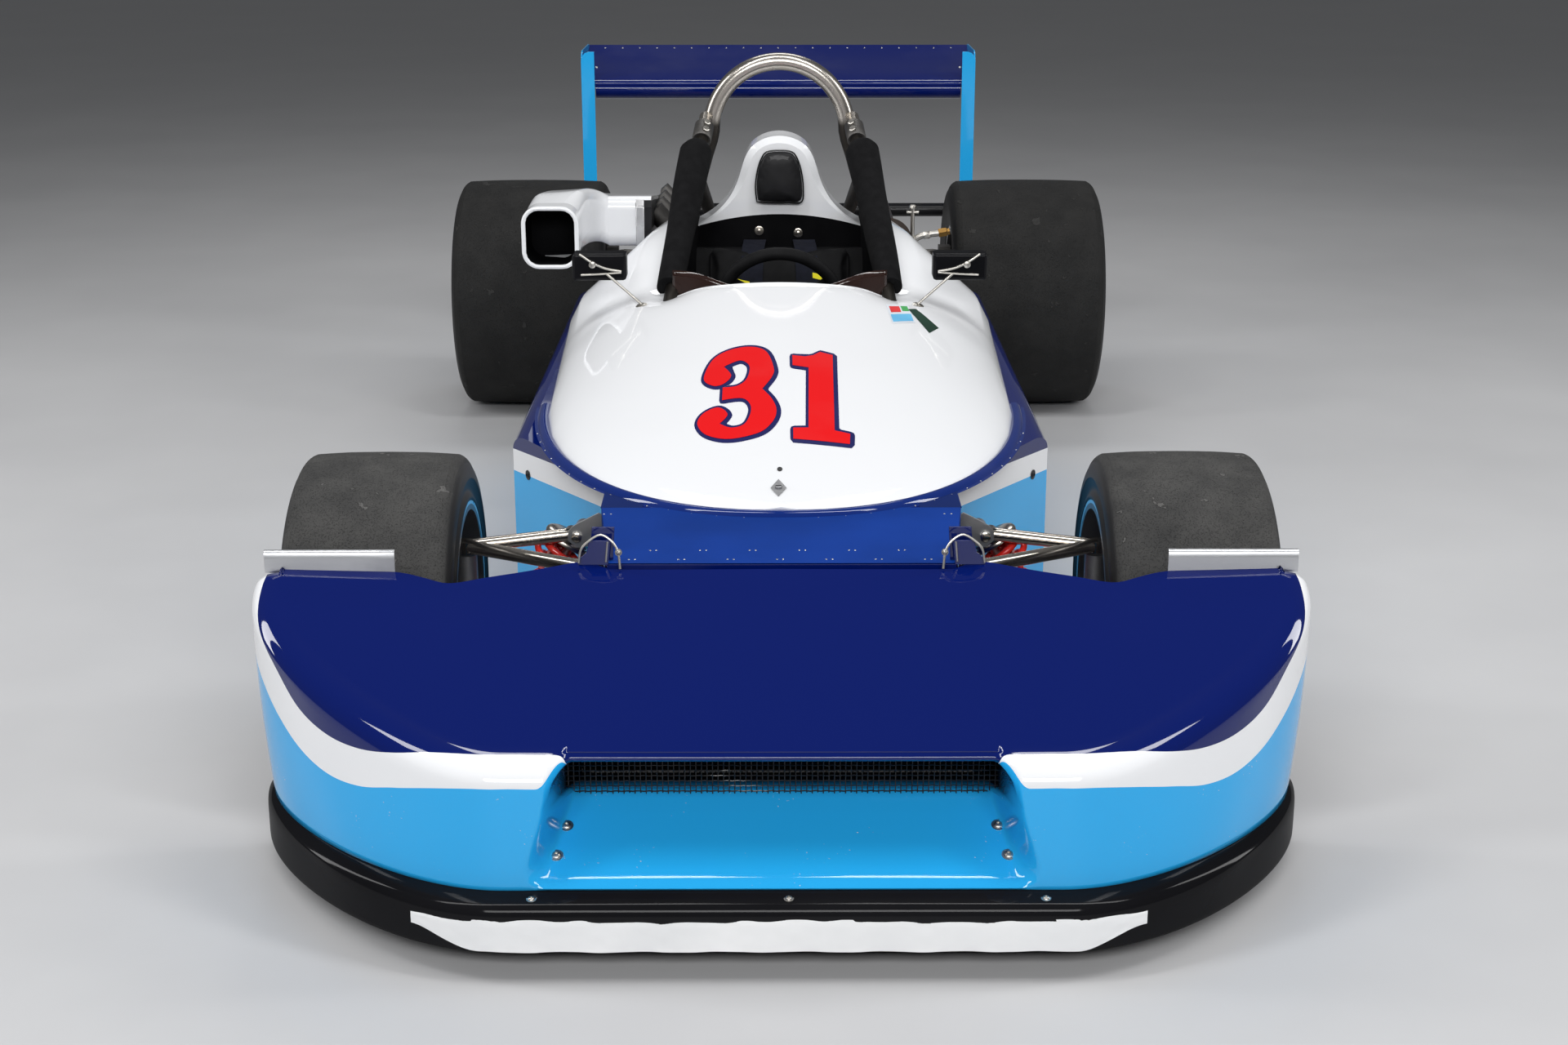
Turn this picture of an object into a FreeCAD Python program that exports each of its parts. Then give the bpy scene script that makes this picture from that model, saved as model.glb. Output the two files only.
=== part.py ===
import FreeCAD, Part
import Sketcher
import math
import os

# An open wheel racing car of the 1970s, in millimetres.
# The nose points to -Y, +X is the car's left side and +Z is up.
# The origin lies on the ground, in the middle of the car's length and width.
# Distances along the car are written from the front axle, positive to the rear.

document = FreeCAD.newDocument("racing_car")
sheet = document.addObject("Spreadsheet::Sheet", "sizes")


class Size:
    """A length, angle or ratio that knows its value and the formula that gives it."""

    def __init__(self, value, formula):
        self.value = float(value)
        self.formula = formula

    def __float__(self):
        return self.value

    def __neg__(self):
        return Size(-self.value, f"(-{self.formula})")

    def __add__(self, other):
        other = as_size(other)
        return Size(self.value + other.value, f"({self.formula} + {other.formula})")

    def __sub__(self, other):
        other = as_size(other)
        return Size(self.value - other.value, f"({self.formula} - {other.formula})")

    def __mul__(self, other):
        other = as_size(other)
        return Size(self.value * other.value, f"({self.formula} * {other.formula})")

    def __truediv__(self, other):
        other = as_size(other)
        return Size(self.value / other.value, f"({self.formula} / {other.formula})")

    __radd__ = __add__
    __rmul__ = __mul__

    def __rsub__(self, other):
        return as_size(other) - self


def as_size(value):
    return value if isinstance(value, Size) else Size(value, repr(value))


class Sizes:
    """The driving dimensions, each one a named cell of the spreadsheet."""

    def __init__(self, table):
        for row, (name, value) in enumerate(table.items(), start=1):
            sheet.set(f"A{row}", name)
            sheet.set(f"B{row}", repr(value))
            sheet.setAlias(f"B{row}", name)
            setattr(self, name, Size(value, f"sizes.{name}"))


SIZES = {
    # The whole car.
    "wheelbase": 2420.0, "nose_overhang": 760.0, "tail_overhang": 710.0,
    "cut_overrun": 5.0, "seat_gap": 0.3, "shaft_gap": 0.5,
    # The wheels, by the rim's bead radius and the tyres' outer sizes.
    "front_track": 1264.0, "front_tyre_radius": 252.0, "front_tyre_width": 264.0,
    "rear_track": 1285.0, "rear_tyre_radius": 296.0, "rear_tyre_width": 393.0,
    "tread_inset": 14.0, "front_shoulder": 14.0, "rear_shoulder": 18.0,
    "bead_radius": 165.0, "rim_lip_height": 13.0, "rim_lip": 7.0, "rim_wall": 6.0, "rim_well_depth": 10.0,
    "front_rim_width": 262.0, "rear_rim_width": 372.0, "rim_seat": 38.0, "rim_slope": 10.0,
    "web_thick": 16.0, "web_offset": 20.0, "wheel_boss_radius": 52.0, "hub_radius": 30.0,
    "window_width": 62.0, "window_inset": 9.0,
    # The brake discs, hubs and drive shafts.
    "disc_radius": 120.0, "disc_thick": 12.0, "disc_offset": 62.0, "hub_flange": 10.0,
    "caliper_length": 80.0, "caliper_width": 46.0, "caliper_gap": 3.0, "caliper_depth": 56.0,
    "caliper_reach": 132.0, "stub_radius": 20.0, "nose_radius": 26.0, "hub_nut": 24.0,
    "shaft_radius": 14.0, "joint_radius": 40.0, "joint_length": 60.0, "shaft_inner": 118.0,
    # The nose: a wedge with a wide scoop in its front.
    "nose_width": 1490.0, "nose_front": 725.0, "nose_lower": 110.0, "nose_chin": 250.0, "nose_brow": 283.0,
    "nose_chin_back": 10.0, "nose_brow_back": 60.0, "nose_tail": 320.0, "nose_height": 430.0,
    "nose_straight": 370.0, "nose_wing_tail": 343.0, "nose_valley": 455.0, "nose_valley_tail": 360.0,
    "nose_shoulder": 34.0, "mouth_edge": 10.0,
    "scoop_width": 622.0, "scoop_mouth": 676.0, "scoop_depth": 150.0, "scoop_sill": 189.0,
    "scoop_roof": 292.0, "hood_thick": 10.0, "hood_reach": 35.0, "hood_length": 120.0,
    "mesh_thick": 3.0, "scoop_floor": 118.0,
    "lip_floor": 38.0, "lip_top": 76.0, "lip_flare": 12.0,
    "gurney_inner": 559.0, "gurney_height": 20.0, "gurney_thick": 3.0, "gurney_edge": 2.0,
    # The tub, with the foot box in front and the cockpit in the middle.
    "tub_floor": 60.0, "tub_top": 430.0, "tub_half": 285.0, "tub_taper": 31.0, "tub_taper_end": -20.0,
    "engine_length": 450.0, "tub_wall": 55.0, "tub_skin": 28.0, "foot_front": 250.0, "foot_roof": 30.0,
    "back_bulkhead": 160.0,
    # The side pods.
    "pod_width": 193.0, "pod_front": 118.0, "pod_corner": 434.0, "pod_behind": 180.0, "pod_round": 30.0,
    "duct_wall": 12.0, "duct_start": 576.0, "inlet_length": 240.0, "inlet_height": 170.0,
    "inlet_sill": 120.0,
    "radiator_thick": 46.0, "radiator_inset": 10.0, "tank_height": 30.0,
    # The cockpit surround, a thin dome over the tub.
    "dome_front": 72.0, "dome_run": 309.0, "dome_out": 145.0, "dome_spread": 22.0, "dome_shoulder": 190.0,
    "dome_behind": 115.0, "dome_rear_half": 334.0, "dome_nose_height": 12.0, "dome_lip": 170.0,
    "dome_wall": 5.0, "mouth_length": 441.0, "mouth_bow": 40.0, "mouth_half": 206.0,
    "mouth_rear_half": 235.0,
    "screen_thick": 3.0, "screen_height": 34.0, "screen_drop": 26.0,
    # The head rest fairing and the roll hoop.
    "fairing_half": 185.0, "fairing_shoulder": 641.0, "fairing_top": 834.0, "fairing_neck": 87.0,
    "fairing_depth": 108.0, "fairing_length": 400.0, "fairing_tail_top": 640.0,
    "fairing_edge": 14.0, "fairing_tail_rise": 60.0,
    "pad_thick": 28.0, "pad_width": 104.0, "pad_low": 692.0, "pad_high": 805.0,
    "hoop_inset": 24.0, "hoop_half": 150.0, "hoop_top": 981.0, "hoop_tube": 19.0,
    "brace_tube": 15.0, "brace_drop": 119.0, "brace_low": 562.0, "brace_low_behind": 41.0,
    "brace_low_half": 212.0,
    "stay_turn": 28.0, "stay_behind": 90.0, "stay_foot_half": 131.0, "foam_radius": 34.0,

    # The cockpit's fittings.
    "dash_behind": 53.0, "dash_half": 196.0, "dash_foot_half": 244.0, "dash_top": 560.0, "dash_thick": 4.0,
    "seat_side_gap": 50.0, "seat_length": 600.0, "seat_back_run": 280.0, "seat_shell": 24.0,
    "seat_top": 600.0, "seat_top_gap": 30.0,
    "wheel_behind": 131.0, "wheel_z": 520.0, "wheel_radius": 125.0, "wheel_grip": 13.0, "wheel_spokes": 5.0,
    "column_radius": 9.5, "boss_radius": 34.0, "spoke_width": 30.0,
    "mirror_x": 361.5, "mirror_behind": 26.0, "mirror_z": 626.0, "mirror_width": 109.0, "mirror_height": 55.0,
    "mirror_depth": 46.0, "mirror_stalk": 6.0, "mirror_foot_half": 236.0, "mirror_foot_behind": 51.0,
    # The steering rack, the kingpins and the front suspension.
    "rack_y": -95.0, "rack_z": 195.0, "rack_radius": 11.0, "rack_reach": 45.0, "tie_radius": 8.0,
    "tie_eye": 12.0,
    "kingpin_inset": 127.0, "kingpin_high": 356.0, "kingpin_low": 150.0,
    "ball_radius": 15.0, "bearing_radius": 40.0, "bearing_length": 45.0,

    "arm_thick": 14.0, "arm_width": 28.0, "ball_gap": 0.5, "wishbone_tube": 11.0, "pivot_radius": 13.0,
    "upper_pivot_out": 53.0, "upper_rear_y": 25.0, "upper_rear_z": 368.0,
    "upper_front_y": -142.0, "upper_front_z": 364.0, "lower_pivot_z": 112.0,
    "lower_front_y": -150.0, "lower_rear_y": 95.0, "bracket_thick": 8.0, "bracket_reach": 65.0,
    "post_radius": 17.0, "ear_height": 40.0,
    "damper_radius": 19.0, "damper_rod": 7.0, "spring_radius": 31.0, "spring_wire": 5.0,
    "spring_turns": 7.0,
    "front_damper_y": 62.0, "front_damper_out": 37.0,
    "front_damper_low": 158.0, "damper_stand": 43.0,
    # The engine with its intake and exhaust, and the gearbox behind it.
    "block_half": 150.0, "block_floor": 110.0, "block_top": 400.0, "bell_length": 170.0, "sump_half": 110.0,
    "head_half": 112.0, "head_top": 500.0, "cam_radius": 36.0, "cam_half": 62.0, "cam_inset": 20.0,
    "port_first": 70.0, "port_pitch": 103.0, "trumpet_radius": 23.0, "port_height": 450.0,
    "airbox_ahead": 150.0, "airbox_outer": 544.0, "airbox_inner": 426.0, "airbox_floor": 575.0,
    "airbox_top": 705.0, "airbox_inset": 25.0, "airbox_neck": 60.0, "airbox_flange": 285.0,
    "airbox_wall": 5.0, "airbox_round": 34.0, "airbox_bend": 95.0, "airbox_straight": 60.0,
    "airbox_arch": 18.0,
    "header_radius": 19.0, "header_reach": 72.0, "header_drop": 90.0, "tail_radius": 30.0, "tail_x": 268.0,
    "tail_z": 505.0, "tail_behind": 110.0, "tail_wall": 3.0, "collector_behind": 50.0,
    "bell_to_axle": 240.0, "bell_half": 150.0, "gear_half": 105.0, "gear_floor": 150.0, "gear_top": 395.0,
    "gear_behind": 240.0, "gear_side_boss": 62.0,
    # The rear suspension.
    "carrier_inset": 202.5, "carrier_high": 420.0, "carrier_low": 160.0,
    "rear_link_tube": 11.0, "link_spread": 90.0, "rod_front_half": 215.0,
    "rod_high": 385.0, "rod_low": 120.0, "rear_damper_behind": 80.0, "rear_damper_high": 452.0,
    "rear_post": 30.0, "rear_post_depth": 40.0, "rear_bearing": 44.0, "link_low": 175.0, "link_high": 400.0,
    "rear_damper_out": 65.0, "rear_damper_low": 172.0,
    "rear_spring_radius": 33.0,
    # The rear wing between its end plates, and the beam that carries them.
    "wing_half": 550.0, "plate_thick": 3.0, "wing_inset": 2.0, "wing_lead_z": 797.0, "wing_chord": 276.0,
    "wing_rise": 18.5, "wing_depth_share": 0.13, "wing_camber_share": 0.05, "plate_length": 280.0,
    "plate_top": 890.0, "plate_floor": 402.0, "plate_corner": 38.0,
    "beam_inset": 50.0, "beam_z": 440.0, "beam_radius": 19.0, "beam_arm_half": 80.0, "beam_arm": 12.0,
    "jack_z": 215.0, "jack_behind": 90.0, "jack_tube": 10.0, "jack_half": 150.0,
    "jack_grip": 12.0, "jack_grip_length": 58.0,
    "eye_radius": 40.0, "eye_bore": 25.0, "eye_thick": 10.0, "eye_behind": 100.0, "eye_z": 300.0,
}

s = Sizes(SIZES)

# Places along the car that follow from the wheelbase, counted from the front axle.
s.bell_rear = s.wheelbase - s.bell_to_axle
s.gear_rear = s.wheelbase + s.gear_behind
s.block_rear = s.bell_rear - s.bell_length
s.tub_rear = s.block_rear - s.engine_length
s.cockpit_back = s.tub_rear - s.back_bulkhead
s.mouth_front = s.cockpit_back - s.mouth_length
s.mouth_corner = s.mouth_front + s.mouth_bow
s.dome_wide = s.mouth_front - s.dome_run
s.dome_late = s.cockpit_back - s.dome_shoulder
s.dome_rear = s.cockpit_back + s.dome_behind
s.fairing_break = s.cockpit_back + s.fairing_depth
s.fairing_tail = s.cockpit_back + s.fairing_length
s.hoop_y = s.tub_rear - s.hoop_inset
s.brace_low_y = s.mouth_front + s.brace_low_behind
s.stay_foot_y = s.block_rear + s.stay_behind
s.dash_y = s.mouth_front + s.dash_behind
s.seat_front = s.cockpit_back - s.seat_length
s.seat_bend = s.cockpit_back - s.seat_back_run
s.seat_top_y = s.cockpit_back - s.seat_top_gap
s.wheel_y = s.mouth_front + s.wheel_behind
s.mirror_y = s.mouth_front + s.mirror_behind
s.mirror_foot_y = s.mouth_front + s.mirror_foot_behind
s.airbox_mouth_y = s.cockpit_back - s.airbox_ahead
s.airbox_plenum = s.tub_rear - s.airbox_neck
s.airbox_rear = s.block_rear - s.airbox_inset
s.collector_y = s.block_rear + s.collector_behind
s.tail_end = s.gear_rear + s.tail_behind
s.pod_rear = s.tub_rear + s.pod_behind
s.inlet_front = s.pod_corner + s.duct_start
s.lower_link_front = s.wheelbase - s.link_spread
s.lower_link_rear = s.wheelbase + s.link_spread
s.rear_damper_y = s.wheelbase + s.rear_damper_behind
s.plate_rear = s.wheelbase + s.tail_overhang
s.plate_front = s.plate_rear - s.plate_length
s.wing_lead = s.plate_front + s.wing_inset
s.beam_y = s.plate_front + s.beam_inset
s.jack_y = s.gear_rear + s.jack_behind
s.eye_y = s.gear_rear + s.eye_behind

# Places across the car that follow from the tracks and the tub.
s.kingpin_half = s.front_track / 2 - s.kingpin_inset
s.bearing_half = s.kingpin_half
s.bearing_end = s.bearing_half + s.bearing_length
s.front_damper_low_half = s.kingpin_half - s.damper_stand
s.carrier_half = s.rear_track / 2 - s.carrier_inset
s.tub_nose_half = s.tub_half - s.tub_taper
s.upper_rear_half = s.tub_half + s.upper_pivot_out
s.front_damper_high_half = s.tub_half + s.front_damper_out
s.rack_half = s.tub_half + s.rack_reach
s.pod_half = s.tub_half + s.pod_width
s.dome_half = s.tub_half + s.dome_out
s.seat_half = s.tub_half - s.tub_wall - s.seat_side_gap
s.rear_damper_high_half = s.gear_half + s.rear_damper_out

# Where the forward braces meet the roll hoop.
s.brace_high = s.hoop_top - s.brace_drop

# Where the front axle stands, so that the car's middle is the origin.
front_axle = (s.nose_overhang - s.wheelbase - s.tail_overhang) / 2


# Ways to place and join pieces.

def bind(piece, **formulas):
    for name, size in formulas.items():
        piece.setExpression(name, as_size(size).formula)


def place(piece, x=0, y=0, z=0):
    """Move a piece to x, y, z with y counted from the front axle."""
    for axis, size in (("x", as_size(x)), ("y", front_axle + y), ("z", as_size(z))):
        piece.setExpression(f"Placement.Base.{axis}", size.formula)
    return piece


def point(x, y, z):
    """A point of the car's frame, with y counted from the front axle."""
    return FreeCAD.Vector(float(x), float(front_axle + y), float(z))


def block(name, width, length, height, x, y, z):
    """A box from its lowest corner."""
    piece = document.addObject("Part::Box", name)
    bind(piece, Length=width, Width=length, Height=height)
    return place(piece, x, y, z)


def centred_block(name, half, length, height, y, z):
    return block(name, half * 2, length, height, -half, y, z)


TURNS = {
    "X": FreeCAD.Rotation(FreeCAD.Vector(0, 0, 1), FreeCAD.Vector(1, 0, 0)),
    "Y": FreeCAD.Rotation(FreeCAD.Vector(0, 0, 1), FreeCAD.Vector(0, 1, 0)),
    "Z": FreeCAD.Rotation(),
}


def bar(name, radius, length, x, y, z, along):
    """A round bar that starts at x, y, z and runs along one axis."""
    piece = document.addObject("Part::Cylinder", name)
    bind(piece, Radius=radius, Height=length)
    piece.Placement = FreeCAD.Placement(FreeCAD.Vector(), TURNS[along])
    return place(piece, x, y, z)


def join(name, *pieces):
    piece = document.addObject("Part::MultiFuse", name)
    piece.Shapes = list(pieces)
    return piece


def remove(name, base, *tools):
    piece = document.addObject("Part::Cut", name)
    piece.Base = base
    piece.Tool = tools[0] if len(tools) == 1 else group(f"{name}_tools", *tools)
    return piece


def group(name, *pieces):
    piece = document.addObject("Part::Compound", name)
    piece.Links = list(pieces)
    return piece


def mirror(name, source):
    """The same piece on the car's other side."""
    piece = document.addObject("Part::Mirroring", name)
    piece.Source = source
    piece.Normal = FreeCAD.Vector(1, 0, 0)
    return piece


def both_sides(name, source):
    return group(name, source, mirror(f"{name}_other_side", source))


def shaped(name, shape):
    """A free form whose shape is worked out from the sizes."""
    piece = document.addObject("Part::Feature", name)
    piece.Shape = shape
    return piece


# Sketches and the features made from them.

def body(name, x=0, y=0, z=0):
    return place(document.addObject("PartDesign::Body", name), x, y, z)


def sketch(owner, plane, corners):
    """A closed outline of straight edges, each corner tied to its two sizes."""
    drawing = owner.newObject("Sketcher::SketchObject", f"{owner.Name}_outline")
    origin = [item for item in owner.Origin.OriginFeatures if item.Role == plane]
    drawing.AttachmentSupport = [(origin[0], "")]
    drawing.MapMode = "FlatFace"
    draw_outline(drawing, corners)
    return drawing


def draw_outline(drawing, corners):
    first = drawing.GeometryCount
    count = len(corners)
    spots = [FreeCAD.Vector(float(a), float(b), 0) for a, b in corners]
    for index in range(count):
        drawing.addGeometry(Part.LineSegment(spots[index], spots[(index + 1) % count]))
    for index in range(count):
        following = first + (index + 1) % count
        drawing.addConstraint(Sketcher.Constraint("Coincident", first + index, 2, following, 1))
    for index, corner in enumerate(corners):
        for kind, size in zip(("DistanceX", "DistanceY"), corner):
            rule = Sketcher.Constraint(kind, -1, 1, first + index, 1, float(size))
            number = drawing.addConstraint(rule)
            drawing.setExpression(f"Constraints[{number}]", as_size(size).formula)


def pad(owner, drawing, length, midplane=False, reverse=False):
    feature = owner.newObject("PartDesign::Pad", f"{owner.Name}_pad")
    feature.Profile = drawing
    feature.Midplane = midplane
    feature.Reversed = reverse
    bind(feature, Length=length)
    return feature


def turned(name, corners, x=0, y=0, z=0):
    """A round piece: an outline of (x, radius) corners turned about the X axis."""
    owner = body(name, x, y, z)
    drawing = sketch(owner, "XY_Plane", corners)
    feature = owner.newObject("PartDesign::Revolution", f"{name}_turn")
    feature.Profile = drawing
    feature.ReferenceAxis = (drawing, ["H_Axis"])
    document.recompute()
    return owner


def round_edges(owner, radius, wanted):
    """Round the edges of a body's last feature whose middle point is wanted."""
    base = owner.Tip
    names = [f"Edge{number + 1}" for number, edge in enumerate(base.Shape.Edges) if wanted(edge)]
    feature = owner.newObject("PartDesign::Fillet", f"{owner.Name}_rounding")
    feature.Base = (base, names)
    bind(feature, Radius=radius)
    document.recompute()
    return owner


# How far along an axis an edge has to point to be counted as running that way.
along_share = 0.9


# Free shapes.

def straight(*points):
    """A closed wire of straight edges."""
    return Part.makePolygon(list(points) + [points[0]])


def prism(wire, direction):
    return Part.Face(wire).extrude(direction)


def rod(start, end, radius):
    """A round rod between two points."""
    line = end - start
    return Part.makeCylinder(float(radius), line.Length, start, line)


def tube_line(points, bend):
    """Straight runs joined by arcs of one bend radius."""
    edges = []
    start = points[0]
    for before, corner, after in zip(points, points[1:], points[2:]):
        arriving = (corner - before).normalize()
        leaving = (after - corner).normalize()
        half_turn = arriving.getAngle(leaving) / 2
        reach = float(bend) * math.tan(half_turn)
        arc_start = corner - arriving * reach
        arc_end = corner + leaving * reach
        inward = (leaving - arriving).normalize()
        middle = corner + inward * (float(bend) / math.cos(half_turn) - float(bend))
        edges.append(Part.makeLine(start, arc_start))
        edges.append(Part.Arc(arc_start, middle, arc_end).toShape())
        start = arc_end
    edges.append(Part.makeLine(start, points[-1]))
    return Part.Wire(edges)


def bent_tube(points, radius, bend):
    path = tube_line(points, bend)
    circle = Part.makeCircle(float(radius), points[0], points[1] - points[0])
    return path.makePipeShell([Part.Wire([circle])], True, False)


def fused(*shapes):
    whole = shapes[0].fuse(list(shapes[1:]))
    return whole.removeSplitter()


# Wheels: the tyre, the rim and the hub with its disc, each turned about the axle.

def tyre(name, side_x, axle_y, radius, width, rim_width, shoulder):
    """A slick tyre round its rim, with flat tread, bevelled shoulders and bulging sides."""
    half = width / 2
    bead = rim_width / 2 - s.rim_lip
    bulge_low = s.bead_radius + s.rim_lip_height * 2
    outside = [
        (bead, s.bead_radius), (bead, s.bead_radius + s.rim_lip_height), (half, bulge_low),
        (half, radius - shoulder * 2), (half - s.tread_inset / 2, radius - shoulder / 2),
        (half - s.tread_inset - shoulder, radius),
    ]
    corners = outside + [(-across, up) for across, up in reversed(outside)]
    return turned(name, corners, side_x, axle_y, radius)


outer_share = 0.9
inner_share = 0.36


def rim(name, side_x, axle_y, radius, rim_width):
    """A cast rim with a drop centre and five windows in its web."""
    half = rim_width / 2
    seat = s.bead_radius
    well = s.bead_radius - s.rim_well_depth
    lip = s.bead_radius + s.rim_lip_height
    seat_end = half - s.rim_seat
    well_end = seat_end - s.rim_slope
    web_in = s.web_offset
    web_out = s.web_offset + s.web_thick
    barrel = [
        (half, lip), (half - s.rim_lip, lip), (half - s.rim_lip, seat), (seat_end, seat), (well_end, well),
    ]
    bore = [
        (well_end + s.rim_wall / 2, well - s.rim_wall), (seat_end + s.rim_wall / 2, seat - s.rim_wall),
        (half, seat - s.rim_wall),
    ]
    web = [
        (web_in, well - s.rim_wall), (web_in, s.nose_radius), (web_out, s.nose_radius),
        (web_out, well - s.rim_wall),
    ]
    corners = barrel + [(-across, up) for across, up in reversed(barrel)]
    corners += [(-across, up) for across, up in reversed(bore)] + web + bore
    owner = turned(name, corners, side_x, axle_y, radius)
    outer = well - s.rim_wall - s.window_inset
    inner = s.wheel_boss_radius + s.window_inset
    drawing = sketch(owner, "YZ_Plane", [
        (-s.window_width, outer * outer_share), (s.window_width, outer * outer_share),
        (s.window_width * inner_share, inner), (-s.window_width * inner_share, inner),
    ])
    window = owner.newObject("PartDesign::Pocket", f"{name}_window")
    window.Profile = drawing
    window.Type = "ThroughAll"
    window.Midplane = True
    document.recompute()
    pattern = owner.newObject("PartDesign::PolarPattern", f"{name}_windows")
    pattern.Originals = [window]
    pattern.Axis = (drawing, ["N_Axis"])
    pattern.Angle = 360
    pattern.Occurrences = 5
    owner.Tip = pattern
    document.recompute()
    return owner


def front_hub(name):
    """The stub axle, the disc and the flange that the front wheel bolts to."""
    middle = s.front_track / 2
    stub = s.bearing_half - middle
    start = s.bearing_end - middle + s.shaft_gap
    shaft = [(stub, 0), (stub, s.stub_radius), (start, s.stub_radius)]
    return hub(name, middle, 0, s.front_tyre_radius, shaft, start, -s.disc_offset)


def rear_hub(name):
    """The drive shaft with its two joints, the disc and the flange of the rear wheel."""
    middle = s.rear_track / 2
    inner = s.shaft_inner - middle
    inner_end = inner + s.joint_length
    outer_end = s.carrier_half - s.rear_bearing / 2 - s.shaft_gap - middle
    outer = outer_end - s.joint_length
    start = s.carrier_half + s.rear_bearing / 2 + s.shaft_gap - middle
    shaft = [
        (inner, 0), (inner, s.joint_radius), (inner_end, s.joint_radius), (inner_end, s.shaft_radius),
        (outer, s.shaft_radius), (outer, s.joint_radius), (outer_end, s.joint_radius),
        (outer_end, s.stub_radius), (start, s.stub_radius),
    ]
    disc = start + s.caliper_width / 2
    return hub(name, middle, s.wheelbase, s.rear_tyre_radius, shaft, start, disc)


def hub(name, middle, axle_y, height, shaft, start, disc):
    disc_in = disc - s.disc_thick / 2
    disc_out = disc + s.disc_thick / 2
    flange = s.web_offset - s.hub_flange
    nut = s.web_offset + s.web_thick + s.hub_nut
    boss = s.nose_radius - s.seat_gap
    corners = shaft + [
        (start, s.hub_radius), (disc_in, s.hub_radius), (disc_in, s.disc_radius),
        (disc_out, s.disc_radius), (disc_out, s.hub_radius), (flange, s.hub_radius),
        (flange, s.wheel_boss_radius), (s.web_offset, s.wheel_boss_radius), (s.web_offset, boss),
        (nut, boss), (nut, 0),
    ]
    return turned(name, corners, middle, axle_y, height)


def wheels():
    fronts = (s.front_track / 2, 0, s.front_tyre_radius)
    rears = (s.rear_track / 2, s.wheelbase, s.rear_tyre_radius)
    left = [
        tyre("front_tyre_left", *fronts, s.front_tyre_width, s.front_rim_width, s.front_shoulder),
        rim("front_rim_left", *fronts, s.front_rim_width),
        front_hub("front_hub_left"),
        tyre("rear_tyre_left", *rears, s.rear_tyre_width, s.rear_rim_width, s.rear_shoulder),
        rim("rear_rim_left", *rears, s.rear_rim_width),
        rear_hub("rear_hub_left"),
    ]
    right = [mirror(piece.Name.replace("left", "right"), piece) for piece in left]
    return left + right


# The nose, its chin lip, its mesh and its gurney plates.

def nose_outline(height, spread, flare):
    """The nose seen from above at one height, straight in front with swept corners."""
    half = float(s.nose_width / 2 + flare)
    front = -float(s.nose_front + spread)
    straight_half = float(s.nose_straight)
    tail = -float(s.nose_wing_tail)
    sweep_across = half - straight_half
    sweep_back = tail - front
    across_shares = (0.45, 0.90)
    back_shares = (0.17, 0.72)
    corner = [point(straight_half + sweep_across * a, front + sweep_back * b, height)
              for a, b in zip((0,) + across_shares + (1,), (0,) + back_shares + (1,))]
    return corner


def nose_plan(height, spread=0, flare=0):
    right = nose_outline(height, spread, flare)
    left = [FreeCAD.Vector(-spot.x, spot.y, spot.z) for spot in reversed(right)]
    sweep = Part.BSplineCurve()
    sweep.interpolate(right, InitialTangent=FreeCAD.Vector(1, 0, 0), FinalTangent=FreeCAD.Vector(0, 1, 0))
    swept = Part.BSplineCurve()
    swept.interpolate(left, InitialTangent=FreeCAD.Vector(0, -1, 0), FinalTangent=FreeCAD.Vector(1, 0, 0))
    valley_y = -s.nose_valley_tail
    back = [
        right[-1], point(s.nose_valley, valley_y, height), point(s.tub_nose_half, -s.nose_tail, height),
        point(-s.tub_nose_half, -s.nose_tail, height), point(-s.nose_valley, valley_y, height), left[0],
    ]
    edges = [Part.makeLine(a, b) for a, b in zip(back, back[1:])]
    return Part.Wire([sweep.toShape()] + edges + [swept.toShape(), Part.makeLine(left[-1], right[0])])


def nose_cone():
    height = float(s.nose_height - s.nose_lower)
    plan = prism(nose_plan(s.nose_lower), FreeCAD.Vector(0, 0, height))
    half = s.nose_width / 2 + s.cut_overrun
    front = -s.nose_front
    side = straight(
        point(-half, -s.nose_tail, s.nose_lower), point(-half, front, s.nose_lower),
        point(-half, front + s.nose_chin_back, s.nose_chin),
        point(-half, front + s.nose_brow_back, s.nose_brow),
        point(-half, -s.nose_tail, s.nose_height),
    )
    wedge = prism(side, FreeCAD.Vector(float(half * 2), 0, 0))
    nose = plan.common(wedge)
    valley = point(0, -s.nose_valley_tail, s.nose_chin - s.seat_gap)

    def on_shoulder(edge):
        return edge.CenterOfMass.y < valley.y and edge.BoundBox.ZMin > valley.z

    nose = nose.makeFillet(float(s.nose_shoulder), [edge for edge in nose.Edges if on_shoulder(edge)])
    nose = nose.fuse(scoop_hood()).removeSplitter().cut(scoop_hollow())
    lip_y = valley.y + float(s.nose_valley_tail - s.nose_front + s.nose_chin_back)
    mouth_half = float(s.scoop_mouth / 2 + s.seat_gap)

    def at_mouth_side(edge):
        middle = edge.CenterOfMass
        upright = abs(edge.tangentAt(edge.FirstParameter).z) > along_share
        return upright and middle.y < lip_y and abs(middle.x) < mouth_half

    sides = [edge for edge in nose.Edges if at_mouth_side(edge)]
    return shaped("nose_cone", nose.makeFillet(float(s.mouth_edge), sides))


def wedge_height(y):
    """How high the nose's top lies at one distance from the axle."""
    brow_y = float(s.nose_brow_back - s.nose_front)
    climb = float(s.nose_height - s.nose_brow) / (-float(s.nose_tail) - brow_y)
    return float(s.nose_brow) + (float(y) - brow_y) * climb


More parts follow.
